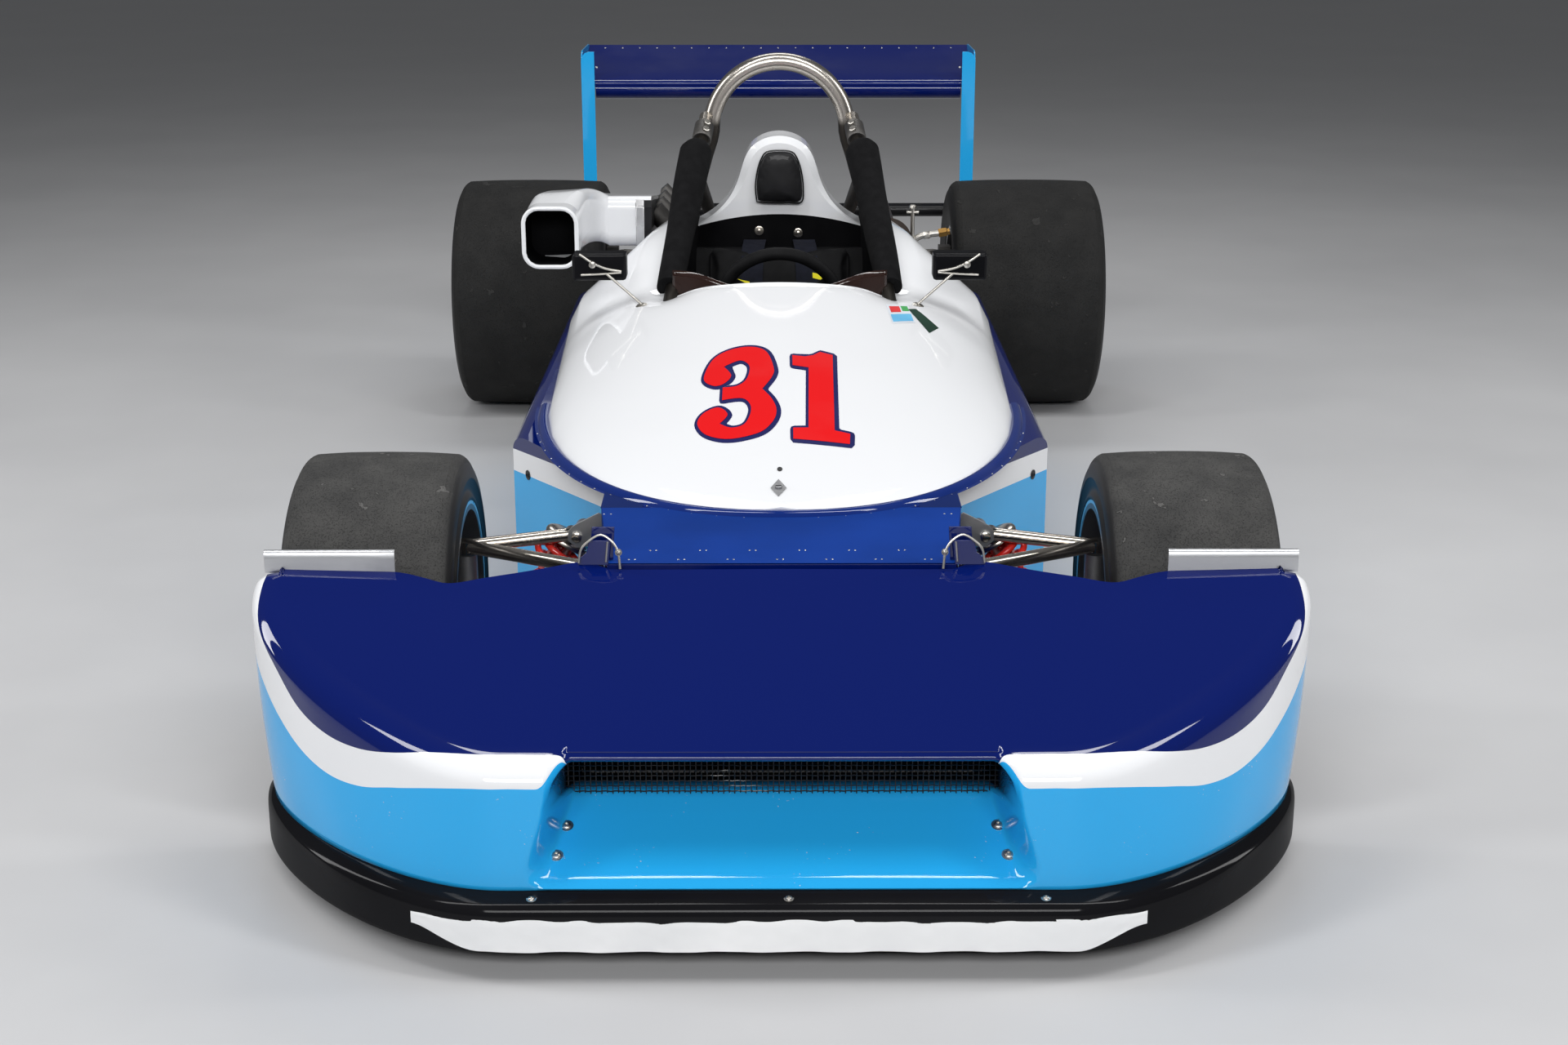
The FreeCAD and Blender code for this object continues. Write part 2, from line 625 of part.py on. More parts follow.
def scoop_hood():
    """The lip over the scoop, which reaches forward of the wedge."""
    half = s.scoop_width / 2 + s.hood_thick
    front = -s.nose_front + s.hood_reach
    rear = front + s.hood_length
    low = wedge_height(rear) - float(s.hood_thick * 2)
    side = straight(
        point(-half, front, s.scoop_roof - s.hood_thick), point(-half, front, s.scoop_roof + s.hood_thick),
        point(-half, rear, wedge_height(rear)), point(-half, rear, low),
    )
    return prism(side, FreeCAD.Vector(float(half * 2), 0, 0))


def scoop_hollow():
    """The recess behind the mouth, with a floor that climbs to the mesh."""
    def opening(y, half, low, high):
        return straight(point(-half, y, low), point(half, y, low), point(half, y, high), point(-half, y, high))

    front = -s.nose_front - s.cut_overrun
    back = -s.nose_front + s.scoop_depth
    return Part.makeLoft([
        opening(front, s.scoop_mouth / 2, s.scoop_floor, s.scoop_roof),
        opening(back, s.scoop_width / 2, s.scoop_sill, s.scoop_roof),
    ], True, True)


def nose_grille():
    width = s.scoop_width - s.seat_gap * 2
    back = -s.nose_front + s.scoop_depth - s.mesh_thick
    return block("nose_grille", width, s.mesh_thick - s.seat_gap, s.scoop_roof - s.scoop_sill - s.seat_gap,
                 -width / 2, back, s.scoop_sill + s.seat_gap / 2)


def nose_splitter():
    """The chin: a flat lip whose top climbs to the nose's lower edge."""
    spread = s.nose_overhang - s.nose_front
    low = nose_plan(s.lip_floor, spread, s.lip_flare)
    lip = prism(low, FreeCAD.Vector(0, 0, float(s.lip_top - s.lip_floor)))
    climb = Part.makeLoft([nose_plan(s.lip_top, spread, s.lip_flare), nose_plan(s.nose_lower)], True, True)
    return shaped("nose_splitter", lip.fuse(climb).removeSplitter())


def nose_gurneys():
    """Thin plates that stand on the rear edge of the nose, in front of each tyre."""
    reach = s.nose_width / 2 - s.nose_valley
    along = FreeCAD.Vector(float(reach), float(s.nose_valley_tail - s.nose_wing_tail), 0)
    inner_share = (s.gurney_inner - s.nose_valley) / reach
    foot = wedge_height(-s.nose_valley_tail) - float(s.gurney_edge)
    start = point(s.nose_valley, -s.nose_valley_tail, foot) + along * float(inner_share)
    end = point(s.nose_valley, -s.nose_valley_tail, foot) + along
    thick = FreeCAD.Vector(0, float(s.gurney_thick), 0)
    plate = prism(straight(start, end, end + thick, start + thick),
                  FreeCAD.Vector(0, 0, float(s.nose_height + s.gurney_height) - foot))
    return both("nose_gurneys", plate)


# The tub and the side pods.

def tub_side(y):
    """Half the tub's width at one distance from the axle, in the tapered front."""
    share = (y + s.nose_tail) / (s.tub_taper_end + s.nose_tail)
    return s.tub_nose_half + (s.tub_half - s.tub_nose_half) * share


def tub():
    """A box of double skins, closed over the feet and open over the cockpit."""
    owner = body("tub_shell", z=s.tub_floor)
    half = [(s.tub_nose_half, -s.nose_tail), (s.tub_half, s.tub_taper_end), (s.tub_half, s.tub_rear)]
    corners = half + [(-across, along) for across, along in reversed(half)]
    pad(owner, sketch(owner, "XY_Plane", corners), s.tub_top - s.tub_floor)
    room_half = s.tub_half - s.tub_wall
    floor = s.tub_floor + s.tub_skin
    legs = centred_block("leg_room", room_half - s.tub_skin, s.foot_front + s.cut_overrun,
                         s.tub_top - s.foot_roof - floor, -s.foot_front, floor)
    deep = s.tub_top - floor + s.cut_overrun
    seat_room = centred_block("seat_room", room_half, s.cockpit_back, deep, 0, floor)
    rack_hole = s.rack_radius + s.shaft_gap
    rack_way = bar("rack_way", rack_hole, s.tub_half * 2, -s.tub_half, s.rack_y, s.rack_z, "X")
    return remove("tub", owner, legs, seat_room, rack_way)


def side_pod():
    """A pod with its slanted front, an inlet in its side and a duct out to the rear."""
    owner = body("pod_shell", z=s.tub_floor)
    corners = [
        (s.tub_half, s.pod_front), (s.pod_half, s.pod_corner),
        (s.pod_half, s.pod_rear), (s.tub_half, s.pod_rear),
    ]
    owner.Tip = pad(owner, sketch(owner, "XY_Plane", corners), s.tub_top - s.tub_floor)
    document.recompute()
    high = float(s.tub_top)
    side = float(s.pod_half)

    def outer_top(edge):
        middle = edge.CenterOfMass
        near = float(s.seat_gap)
        return abs(middle.z + owner.Placement.Base.z - high) < near and abs(middle.x - side) < near

    round_edges(owner, s.pod_round, outer_top)
    width = s.pod_half - s.tub_half - s.duct_wall * 2
    height = s.tub_top - s.tub_floor - s.pod_round - s.duct_wall * 2
    duct = block("pod_duct", width, s.pod_rear - s.inlet_front + s.cut_overrun, height,
                 s.tub_half + s.duct_wall, s.inlet_front, s.tub_floor + s.duct_wall)
    inlet = block("pod_inlet", s.duct_wall * 3, s.inlet_length, s.inlet_height,
                  s.pod_half - s.duct_wall * 2, s.inlet_front, s.inlet_sill + s.duct_wall)
    left = remove("sidepod_left", owner, duct, inlet)
    return [left, mirror("sidepod_right", left)]


def radiators():
    """A core at the rear end of each pod's duct, with a header tank on top."""
    width = s.pod_half - s.tub_half - s.duct_wall * 2 - s.seat_gap * 2
    height = s.tub_top - s.tub_floor - s.pod_round - s.duct_wall * 2 - s.seat_gap * 2
    y = s.pod_rear - s.radiator_inset - s.radiator_thick
    x = s.tub_half + s.duct_wall + s.seat_gap
    core = block("radiator_left", width, s.radiator_thick, height - s.tank_height, x, y,
                 s.tub_floor + s.duct_wall + s.seat_gap)
    tank = block("radiator_tank", width, s.radiator_thick + s.radiator_inset / 2, s.tank_height,
                 x, y - s.radiator_inset / 2, s.tub_floor + s.duct_wall + s.seat_gap + height - s.tank_height)
    return both_sides("radiators", join("radiator", core, tank))


# The cockpit surround with its windscreen.

dome_plan_share = 2.3
dome_curve_share = 1.85


def dome_size(y, inset=0):
    """Half width and height of the dome at one distance from the axle."""
    y = float(y)
    front = -float(s.dome_front)
    wide = float(s.dome_wide)
    half = float(s.dome_half)
    if y < wide:
        share = (wide - y) / (wide - front)
        half = half * max(0.0, 1 - share ** 2) ** (1 / dome_plan_share)
    elif y < float(s.dome_late):
        half = half + float(s.dome_spread) * (y - wide) / (float(s.dome_late) - wide)
    else:
        share = (y - float(s.dome_late)) / (float(s.dome_rear) - float(s.dome_late))
        late = half + float(s.dome_spread)
        half = late + (float(s.dome_rear_half) - late) * share ** 2
    lip = float(s.mouth_front)
    climb = min(1.0, (y - front) / (lip - front))
    nose = float(s.dome_nose_height)
    height = nose + (float(s.dome_lip) - nose) * climb
    return half - float(inset), height - float(inset)


def dome_height(x, y):
    """The dome's outer surface above the ground."""
    half, height = dome_size(y)
    share = min(1.0, abs(float(x)) / half)
    return float(s.tub_top) + height * (1 - share ** dome_curve_share) ** (1 / dome_curve_share)


def dome_section(y, inset, drop):
    """A half oval standing on the tub's top at one distance from the axle."""
    half, height = dome_size(y, inset)
    base = float(s.tub_top) - drop
    turns = 12
    spots = []
    for step in range(turns + 1):
        turn = math.pi * step / turns
        across = math.copysign(abs(math.cos(turn)) ** (2 / dome_curve_share), math.cos(turn))
        up = math.sin(turn) ** (2 / dome_curve_share) if 0 < step < turns else 0
        spots.append(point(half * across, y, base + (height + drop) * up))
    arch = Part.BSplineCurve()
    arch.interpolate(spots)
    return Part.Wire([arch.toShape(), Part.makeLine(spots[-1], spots[0])])


def dome_loft(inset, drop):
    front = float(s.dome_front)
    span = float(s.dome_wide) + front
    shares = (0.02, 0.1, 0.28, 0.55, 1.0)
    stations = [-front + float(inset) + span * share for share in shares]
    stations += [float(s.mouth_front), float(s.dome_late), float(s.dome_rear) + drop]
    return Part.makeLoft([dome_section(y, inset, drop) for y in stations], True, False)


def mouth_outline(inset, height):
    """The cockpit opening from above: a bowed front and sides that open to the rear."""
    front = float(s.mouth_front) + float(inset)
    corner = float(s.mouth_corner) + float(inset)
    half = float(s.mouth_half) - float(inset)
    rear = float(s.mouth_rear_half) - float(inset)
    back = float(s.cockpit_back)
    bow = Part.Arc(point(-half, corner, height), point(0, front, height), point(half, corner, height))
    corners = [
        point(half, corner, height), point(rear, back, height), point(-rear, back, height),
        point(-half, corner, height),
    ]
    edges = [Part.makeLine(a, b) for a, b in zip(corners, corners[1:])]
    return Part.Wire([bow.toShape()] + edges)


def brace_line():
    """The forward brace from the roll hoop through the surround to the tub."""
    high = point(s.hoop_half, s.hoop_y - s.hoop_tube - s.seat_gap, s.brace_high)
    low = point(s.brace_low_half, s.brace_low_y, s.brace_low)
    run = low - high
    foot = high + run * ((float(s.tub_top) - high.z) / run.z)
    return high, foot


def brace_rods(radius):
    """Both forward braces as round bars of one radius."""
    high, foot = brace_line()
    left = rod(high, foot, radius)
    return left.fuse(mirrored_shape(left))


def cockpit_surround():
    shell = dome_loft(0, 0).cut(dome_loft(s.dome_wall, float(s.dome_wall)))
    tall = FreeCAD.Vector(0, 0, float(s.tub_top))
    shell = shell.cut(prism(mouth_outline(0, s.tub_top), tall))
    back_half = s.fairing_half + s.seat_gap
    back = Part.makeBox(float(back_half * 2), float(s.dome_rear - s.cockpit_back + s.cut_overrun), tall.z,
                        point(-back_half, s.cockpit_back - s.cut_overrun, s.tub_top))
    shell = shell.cut(back)
    return shaped("cockpit_surround", shell.cut(brace_rods(s.brace_tube + s.shaft_gap)))


def windscreen():
    """A low smoked strip inside the front edge of the opening."""
    base = dome_height(0, s.mouth_front) - float(s.screen_drop + s.dome_wall)
    tall = FreeCAD.Vector(0, 0, float(s.screen_height + s.screen_drop + s.dome_wall))
    outer = prism(mouth_outline(s.seat_gap, base), tall)
    inner = prism(mouth_outline(s.seat_gap + s.screen_thick, base), tall)
    keep = Part.makeBox(float(s.mouth_half * 2), float(s.mouth_corner - s.mouth_front), tall.z,
                        point(-s.mouth_half, s.mouth_front, base))
    screen = outer.cut(inner).common(keep)
    return shaped("windscreen", screen.cut(brace_rods(s.brace_tube + s.screen_thick)))


# The fairing behind the driver's head, its pad, and the roll hoop.

# Where the bell's outline turns, as shares of the flare outside the neck and of the height below the head.
flare_out_shares = (1, 0.64, 0.26)
flare_up_shares = (0, 0.18, 0.52)
tail_half_share = 0.6
tail_neck_share = 0.62


def fairing_section(y, half, shoulder, neck, top, base):
    """A bell seen from the front: a flared foot, upright cheeks and a round head."""
    half, shoulder, neck, top = float(half), float(shoulder), float(neck), float(top)
    head = top - neck
    right = [point(neck + (half - neck) * out, y, shoulder + (head - shoulder) * up)
             for out, up in zip(flare_out_shares, flare_up_shares)]
    for turn in (0, math.pi / 4):
        right.append(point(neck * math.cos(turn), y, head + neck * math.sin(turn)))
    left = [FreeCAD.Vector(-spot.x, spot.y, spot.z) for spot in reversed(right)]
    bell = Part.BSplineCurve()
    bell.interpolate(right + [point(0, y, top)] + left)
    low_right = point(half, y, base)
    low_left = point(-half, y, base)
    return Part.Wire([
        bell.toShape(), Part.makeLine(left[-1], low_left), Part.makeLine(low_left, low_right),
        Part.makeLine(low_right, right[0]),
    ])


def headrest_fairing():
    half = s.fairing_half
    neck = s.fairing_neck
    face = s.cockpit_back + s.seat_gap
    small = neck - s.fairing_edge
    front = Part.makeLoft([
        fairing_section(face, half, s.fairing_shoulder, small, s.fairing_top - s.fairing_edge, s.tub_top),
        fairing_section(face + s.fairing_edge, half, s.fairing_shoulder, neck, s.fairing_top, s.tub_top),
        fairing_section(s.fairing_break, half, s.fairing_shoulder, neck, s.fairing_top, s.tub_top),
    ], True, True)
    tail_base = s.head_top + s.cam_radius + s.seat_gap * 2
    tail_neck = neck * tail_neck_share
    tail_end = tail_neck / 2
    tail = Part.makeLoft([
        fairing_section(s.fairing_break - s.pad_thick, half * tail_half_share, s.fairing_shoulder,
                        neck - s.fairing_edge, s.fairing_top - s.fairing_edge / 2, tail_base),
        fairing_section(s.fairing_tail, tail_neck, s.fairing_tail_top - s.fairing_tail_rise,
                        tail_end, s.fairing_tail_top, tail_base),
    ], True, True)
    return shaped("headrest_fairing", fused(front, tail))


pad_round_share = 0.6


def headrest_pad():
    """A pad on the fairing's front face."""
    front = s.cockpit_back - s.pad_thick
    owner = body("headrest_pad", y=front, z=s.pad_low)
    half = s.pad_width / 2
    height = s.pad_high - s.pad_low
    corners = [(-half, 0), (half, 0), (half, height), (-half, height)]
    owner.Tip = pad(owner, sketch(owner, "XZ_Plane", corners), s.pad_thick, reverse=True)
    document.recompute()

    def upright_corner(edge):
        return abs(edge.tangentAt(edge.FirstParameter).y) > along_share

    return round_edges(owner, half * pad_round_share, upright_corner)


def roll_hoop():
    """The hoop, its two forward braces and its two rear stays."""
    half = s.hoop_half
    base = s.tub_top
    high = s.hoop_top - half
    legs = [
        Part.makeLine(point(half, s.hoop_y, base), point(half, s.hoop_y, high)),
        Part.Arc(point(half, s.hoop_y, high), point(0, s.hoop_y, s.hoop_top),
                 point(-half, s.hoop_y, high)).toShape(),
        Part.makeLine(point(-half, s.hoop_y, high), point(-half, s.hoop_y, base)),
    ]
    circle = Part.makeCircle(float(s.hoop_tube), point(half, s.hoop_y, base), FreeCAD.Vector(0, 0, 1))
    hoop = Part.Wire(legs).makePipeShell([Part.Wire([circle])], True, False)
    brace_top, brace_foot = brace_line()
    brace_start = brace_top - (brace_foot - brace_top).normalize() * float(s.hoop_tube)
    turn = math.radians(float(s.stay_turn))
    stay_top = point(half * math.cos(turn), s.hoop_y, high + half * math.sin(turn))
    stay_foot = point(s.stay_foot_half, s.stay_foot_y, s.block_top)
    parts = []
    for side in (1, -1):
        def across(spot):
            return FreeCAD.Vector(spot.x * side, spot.y, spot.z)
        parts.append(rod(across(brace_start), across(brace_foot), s.brace_tube))
        parts.append(rod(across(stay_top), across(stay_foot), s.brace_tube))
    whole = fused(hoop, *parts)
    low = Part.makeBox(float(half * 4), float(s.tub_rear), float(base), point(-half * 2, 0, 0))
    engine_deck = Part.makeBox(float(half * 4), float(s.wheelbase), float(s.block_top),
                               point(-half * 2, s.tub_rear, 0))
    return shaped("roll_hoop", whole.cut(low).cut(engine_deck))


foam_start_share = 0.09
foam_end_share = 1.75


def brace_pads():
    """A foam sleeve round each forward brace, above the surround."""
    high, foot = brace_line()
    run = foot - high
    start = high + run * foam_start_share
    drop = s.brace_high - s.brace_low - s.foam_radius * foam_end_share
    low_share = float(drop / (s.brace_high - s.tub_top))
    end = high + run * low_share
    sleeves = []
    for side in (1, -1):
        a = FreeCAD.Vector(start.x * side, start.y, start.z)
        b = FreeCAD.Vector(end.x * side, end.y, end.z)
        sleeves.append(rod(a, b, s.foam_radius).cut(rod(a, b, s.brace_tube + s.seat_gap)))
    return shaped("brace_pads", Part.makeCompound(sleeves))


# Inside the cockpit.

def dashboard():
    owner = body("dash_panel", y=s.dash_y)
    corners = [
        (-s.dash_foot_half, s.tub_top), (s.dash_foot_half, s.tub_top),
        (s.dash_half, s.dash_top), (-s.dash_half, s.dash_top),
    ]
    owner.Tip = pad(owner, sketch(owner, "XZ_Plane", corners), s.dash_thick, reverse=True)
    start, end = column_ends()
    hole = shaped("column_hole", rod(start, end, s.column_radius + s.shaft_gap))
    return remove("dashboard", owner, hole)


def column_ends():
    """The steering column runs from behind the rack up to the wheel."""
    wheel = point(0, s.wheel_y, s.wheel_z)
    rack = point(0, s.rack_y, s.rack_z)
    run = (wheel - rack).normalize()
    return rack + run * float(s.rack_radius + s.column_radius + s.shaft_gap), wheel


def seat():
    """A seat shell on the cockpit floor, its back leaning to the rear."""
    floor = s.tub_floor + s.tub_skin
    thick = s.seat_shell
    owner = body("seat", x=-s.seat_half)
    corners = [
        (s.seat_front, floor), (s.seat_bend + thick, floor), (s.seat_top_y, s.seat_top),
        (s.seat_top_y - thick, s.seat_top), (s.seat_bend, floor + thick), (s.seat_front, floor + thick),
    ]
    owner.Tip = pad(owner, sketch(owner, "YZ_Plane", corners), s.seat_half * 2)
    return owner


def steering_wheel():
    """The wheel, three spokes, its boss and the column below it."""
    start, middle = column_ends()
    axis = (middle - start).normalize()
    ring = Part.makeTorus(float(s.wheel_radius), float(s.wheel_grip), middle, axis)
    column = Part.makeCylinder(float(s.column_radius), (middle - start).Length, start, axis)
    grip = float(s.wheel_grip)
    boss = Part.makeCylinder(float(s.boss_radius), grip, middle - axis * grip, axis)
    spokes = []
    for turn in (0, 120, 240):
        spoke = Part.makeBox(float(s.spoke_width), float(s.wheel_radius), float(s.wheel_spokes),
                             FreeCAD.Vector(-float(s.spoke_width) / 2, 0, -float(s.wheel_spokes) / 2))
        spoke.rotate(FreeCAD.Vector(), FreeCAD.Vector(0, 0, 1), turn)
        spokes.append(spoke)
    arms = spokes[0].fuse(spokes[1:])
    arms.Placement = FreeCAD.Placement(middle, FreeCAD.Rotation(FreeCAD.Vector(0, 0, 1), axis))
    return shaped("steering_wheel", fused(ring, column, boss, arms))


def mirrors():
    owner = body("mirror_box", s.mirror_x, s.mirror_y, s.mirror_z)
    half = s.mirror_width / 2
    rise = s.mirror_height / 2
    corners = [(-half, -rise), (half, -rise), (half, rise), (-half, rise)]
    owner.Tip = pad(owner, sketch(owner, "XZ_Plane", corners), s.mirror_depth, reverse=True)
    document.recompute()
    foot = point(s.mirror_foot_half, s.mirror_foot_y, dome_height(s.mirror_foot_half, s.mirror_foot_y))
    head = point(s.mirror_x, s.mirror_y + s.mirror_depth / 2, s.mirror_z)
    surround = dome_loft(-s.seat_gap, 0)
    stalk = shaped("mirror_stalk", rod(foot, head, s.mirror_stalk).cut(surround))
    return both_sides("mirrors", join("mirror", owner, stalk))


# Steering and front suspension, drawn for the left side and mirrored.

def steering_rack():
    """The rack bar with a tie rod at each end, each rod ending in an eye."""
    rack = rod(point(-s.rack_half, s.rack_y, s.rack_z), point(s.rack_half, s.rack_y, s.rack_z), s.rack_radius)
    parts = [rack]
    for side in (1, -1):
        inner = point(s.rack_half * side, s.rack_y, s.rack_z)
        outer = point(s.kingpin_half * side, s.rack_y, s.rack_z)
        parts.append(eye(inner, s.tie_eye, "X"))
        parts.append(rod(inner, outer, s.tie_radius))
        parts.append(eye(outer, s.tie_eye, "Z"))
    return shaped("steering_rack", fused(*parts))


def front_upright():
    """The post between the ball joints, the bearing, the steering arm and the caliper's ear."""
    half = s.kingpin_half
    gap = s.wishbone_tube + s.ball_gap * 4
    length = s.kingpin_high - s.kingpin_low - gap * 2
    post = bar("upright_post", s.post_radius, length, half, 0, s.kingpin_low + gap, "Z")
    barrel = bar("upright_barrel", s.bearing_radius, s.bearing_end - s.bearing_half, s.bearing_half, 0,
                 s.front_tyre_radius, "X")
    arm_floor = s.rack_z + s.tie_radius + s.ball_gap
    arm = block("steering_arm", s.arm_width, s.tie_eye - s.rack_y, s.arm_thick,
                half - s.arm_width / 2, s.rack_y - s.tie_eye, arm_floor)
    face = s.front_track / 2 - s.disc_offset - s.caliper_width / 2
    ear = block("caliper_ear", face - half, s.caliper_reach - s.caliper_depth / 2, s.ear_height,
                half, 0, s.front_tyre_radius - s.ear_height / 2)
    bore = bar("upright_bore", s.stub_radius + s.shaft_gap, s.bearing_end - s.bearing_half + s.cut_overrun,
               s.bearing_half, 0, s.front_tyre_radius, "X")
    left = remove("front_upright_left", join("upright_casting", post, barrel, arm, ear), bore)
    return [left, mirror("front_upright_right", left)]


def caliper(name, disc_x, y, height):
    """A caliper that straddles the disc, y being its edge nearer the axle."""
    x = disc_x - s.caliper_width / 2
    outer = block(f"{name}_block", s.caliper_width, s.caliper_depth, s.caliper_length, x, y,
                  height - s.caliper_length / 2)
    slot = block(f"{name}_slot", s.disc_thick + s.caliper_gap * 2, s.caliper_depth + s.cut_overrun * 2,
                 s.caliper_length + s.cut_overrun * 2, disc_x - s.disc_thick / 2 - s.caliper_gap,
                 y - s.cut_overrun, height - s.caliper_length / 2 - s.cut_overrun)
    bridge = block(f"{name}_bridge", s.caliper_width, s.caliper_reach - s.disc_radius - s.caliper_gap,
                   s.caliper_length, x, y, height - s.caliper_length / 2)
    return outer, slot, bridge


def front_calipers():
    disc = s.front_track / 2 - s.disc_offset
    near = s.caliper_reach - s.caliper_depth
    outer, slot, bridge = caliper("front_caliper", disc, near, s.front_tyre_radius)
    place(bridge, disc - s.caliper_width / 2, s.disc_radius + s.caliper_gap,
          s.front_tyre_radius - s.caliper_length / 2)
    left = join("front_caliper_left", remove("front_caliper_jaws", outer, slot), bridge)
    return [left, mirror("front_caliper_right", left)]


def rear_calipers():
    disc = s.carrier_half + s.rear_bearing / 2 + s.shaft_gap + s.caliper_width / 2
    far = s.wheelbase - s.caliper_reach
    outer, slot, bridge = caliper("rear_caliper", disc, far, s.rear_tyre_radius)
    place(bridge, disc - s.caliper_width / 2, far, s.rear_tyre_radius - s.caliper_length / 2)
    left = join("rear_caliper", remove("rear_caliper_jaws", outer, slot), bridge)
    return both_sides("rear_calipers", left)


eye_half_share = 0.6


def eye(spot, size, axis):
    """A round rod end at a point, its bolt along one axis."""
    direction = TURNS[axis].multVec(FreeCAD.Vector(0, 0, 1))
    half = float(eye_half(size))
    return Part.makeCylinder(float(size), half * 2, spot - direction * half, direction)


def eye_half(size):
    """Half the length of a rod end along its bolt."""
    return size * eye_half_share


def arm(start, end, radius, start_size, end_size, start_axis="Z", end_axis="Y"):
    """A tube between two rod ends, each with its own bolt direction."""
    return [rod(start, end, radius), eye(start, start_size, start_axis), eye(end, end_size, end_axis)]


def mirrored_shape(shape):
    return shape.mirror(FreeCAD.Vector(), FreeCAD.Vector(1, 0, 0))


def both(name, *shapes):
    """Shapes of the left side and their mirror images, as one node."""
    solids = list(shapes) + [mirrored_shape(shape) for shape in shapes]
    return shaped(name, Part.makeCompound(solids))


def front_wishbones():
    upper_ball = point(s.kingpin_half, 0, s.kingpin_high)
    lower_ball = point(s.kingpin_half, 0, s.kingpin_low)
    clear = s.pivot_radius + s.ball_gap * 2
    upper = arm(upper_ball, point(s.upper_rear_half, s.upper_rear_y, s.upper_rear_z),
                s.wishbone_tube, s.ball_radius, s.pivot_radius)
    upper += arm(upper_ball, point(tub_side(s.upper_front_y) + clear, s.upper_front_y, s.upper_front_z),
                 s.wishbone_tube, s.ball_radius, s.pivot_radius)
    lower = arm(lower_ball, point(tub_side(s.lower_front_y) + clear, s.lower_front_y, s.lower_pivot_z),
                s.wishbone_tube, s.ball_radius, s.pivot_radius)
    lower += arm(lower_ball, point(s.tub_half + clear, s.lower_rear_y, s.lower_pivot_z),
                 s.wishbone_tube, s.ball_radius, s.pivot_radius)
    return both("front_wishbones", fused(*upper), fused(*lower))


def front_brackets():
    """Plates on the tub's sides that carry the upper arms and the dampers."""
    floor = s.upper_rear_z + s.pivot_radius + s.seat_gap
    plate = block("front_bracket", s.bracket_reach, s.front_damper_y - s.upper_rear_y + s.pivot_radius * 2,
                  s.bracket_thick, s.tub_half, s.upper_rear_y - s.pivot_radius, floor)
    return both_sides("front_brackets", plate)


damper_body_share = 0.55
spring_start_share = 0.14
spring_end_share = 0.74
collar_share = 0.02


def damper_ends(side):
    """The top and bottom eyes of a damper."""
    if side == "front":
        high = point(s.front_damper_high_half, s.front_damper_y, s.upper_rear_z)
        low = point(s.front_damper_low_half, s.front_damper_y, s.front_damper_low)
    else:
        face = s.carrier_half - s.rear_post / 2
        high = point(s.rear_damper_high_half, s.rear_damper_y, s.rear_damper_high)
        low = point(face - s.pivot_radius - s.seat_gap, s.rear_damper_y, s.rear_damper_low)
    return high, low


def dampers():
    """Four dampers: a body, a rod, an eye at each end and two spring collars."""
    shapes = []
    for side, coil in (("front", s.spring_radius), ("rear", s.rear_spring_radius)):
        high, low = damper_ends(side)
        run = low - high
        middle = high + run * (1 - damper_body_share)
        parts = arm(high, low, s.damper_rod, s.pivot_radius, s.pivot_radius, "Y")
        parts.append(rod(middle, low - run * collar_share * 3, s.damper_radius))
        for share in (spring_start_share - collar_share * 2, spring_end_share):
            parts.append(rod(high + run * share, high + run * (share + collar_share * 2), coil))
        shapes.append(fused(*parts))
    return both("dampers", *shapes)


steps_per_turn = 12


def coil(length, radius, wire, turns):
    """A coil of six sided wire round the Z axis, from the bottom up."""
    rise = (length - wire * 2) / turns
    sections = []
    for step in range(turns * steps_per_turn + 1):
        turn = 2 * math.pi * step / steps_per_turn
        outward = FreeCAD.Vector(math.cos(turn), math.sin(turn), 0)
        upward = FreeCAD.Vector(0, 0, 1)
        middle = outward * radius + upward * (wire + rise * turn / (2 * math.pi))
        around = [math.pi * corner / 3 for corner in range(6)]
        spots = [middle + outward * (wire * math.cos(a)) + upward * (wire * math.sin(a)) for a in around]
        sections.append(straight(*spots))
    return Part.makeLoft(sections, True, True)


def springs():
    """A coil spring round each damper, between its collars."""
    shapes = []
    for side, outer in (("front", s.spring_radius), ("rear", s.rear_spring_radius)):
        high, low = damper_ends(side)
        run = low - high
        start = high + run * spring_start_share
        length = run.Length * (spring_end_share - spring_start_share)
        wire = float(s.spring_wire)
        spring = coil(length, float(outer) - wire, wire, int(float(s.spring_turns)))
        spring.Placement = FreeCAD.Placement(start, FreeCAD.Rotation(FreeCAD.Vector(0, 0, 1), run))
        shapes.append(spring)
    return both("springs", *shapes)


# The rear suspension, drawn for the left side and mirrored.

def rear_uprights():
    x = s.carrier_half
    low = s.carrier_low
    post = block("rear_post", s.rear_post, s.rear_post_depth, s.carrier_high - low,
                 x - s.rear_post / 2, s.wheelbase - s.rear_post_depth / 2, low)
    barrel = bar("rear_barrel", s.bearing_radius, s.rear_bearing, x - s.rear_bearing / 2, s.wheelbase,
                 s.rear_tyre_radius, "X")
    lug = block("damper_lug", s.rear_post, s.rear_damper_y - s.wheelbase + s.pivot_radius,
                s.pivot_radius * 2, x - s.rear_post / 2, s.wheelbase, s.rear_damper_low - s.pivot_radius)
    face = x + s.rear_bearing / 2 + s.shaft_gap
    ear = block("rear_ear", face - x, s.caliper_reach - s.caliper_depth / 2, s.ear_height,
                x, s.wheelbase - s.caliper_reach + s.caliper_depth / 2, s.rear_tyre_radius - s.ear_height / 2)
    bore = bar("rear_bore", s.stub_radius + s.shaft_gap, s.rear_bearing + s.cut_overrun * 2,
               x - s.rear_bearing / 2 - s.cut_overrun, s.wheelbase, s.rear_tyre_radius, "X")
    casting = join("rear_casting", post, barrel, lug, ear)
    return both_sides("rear_uprights", remove("rear_upright", casting, bore))


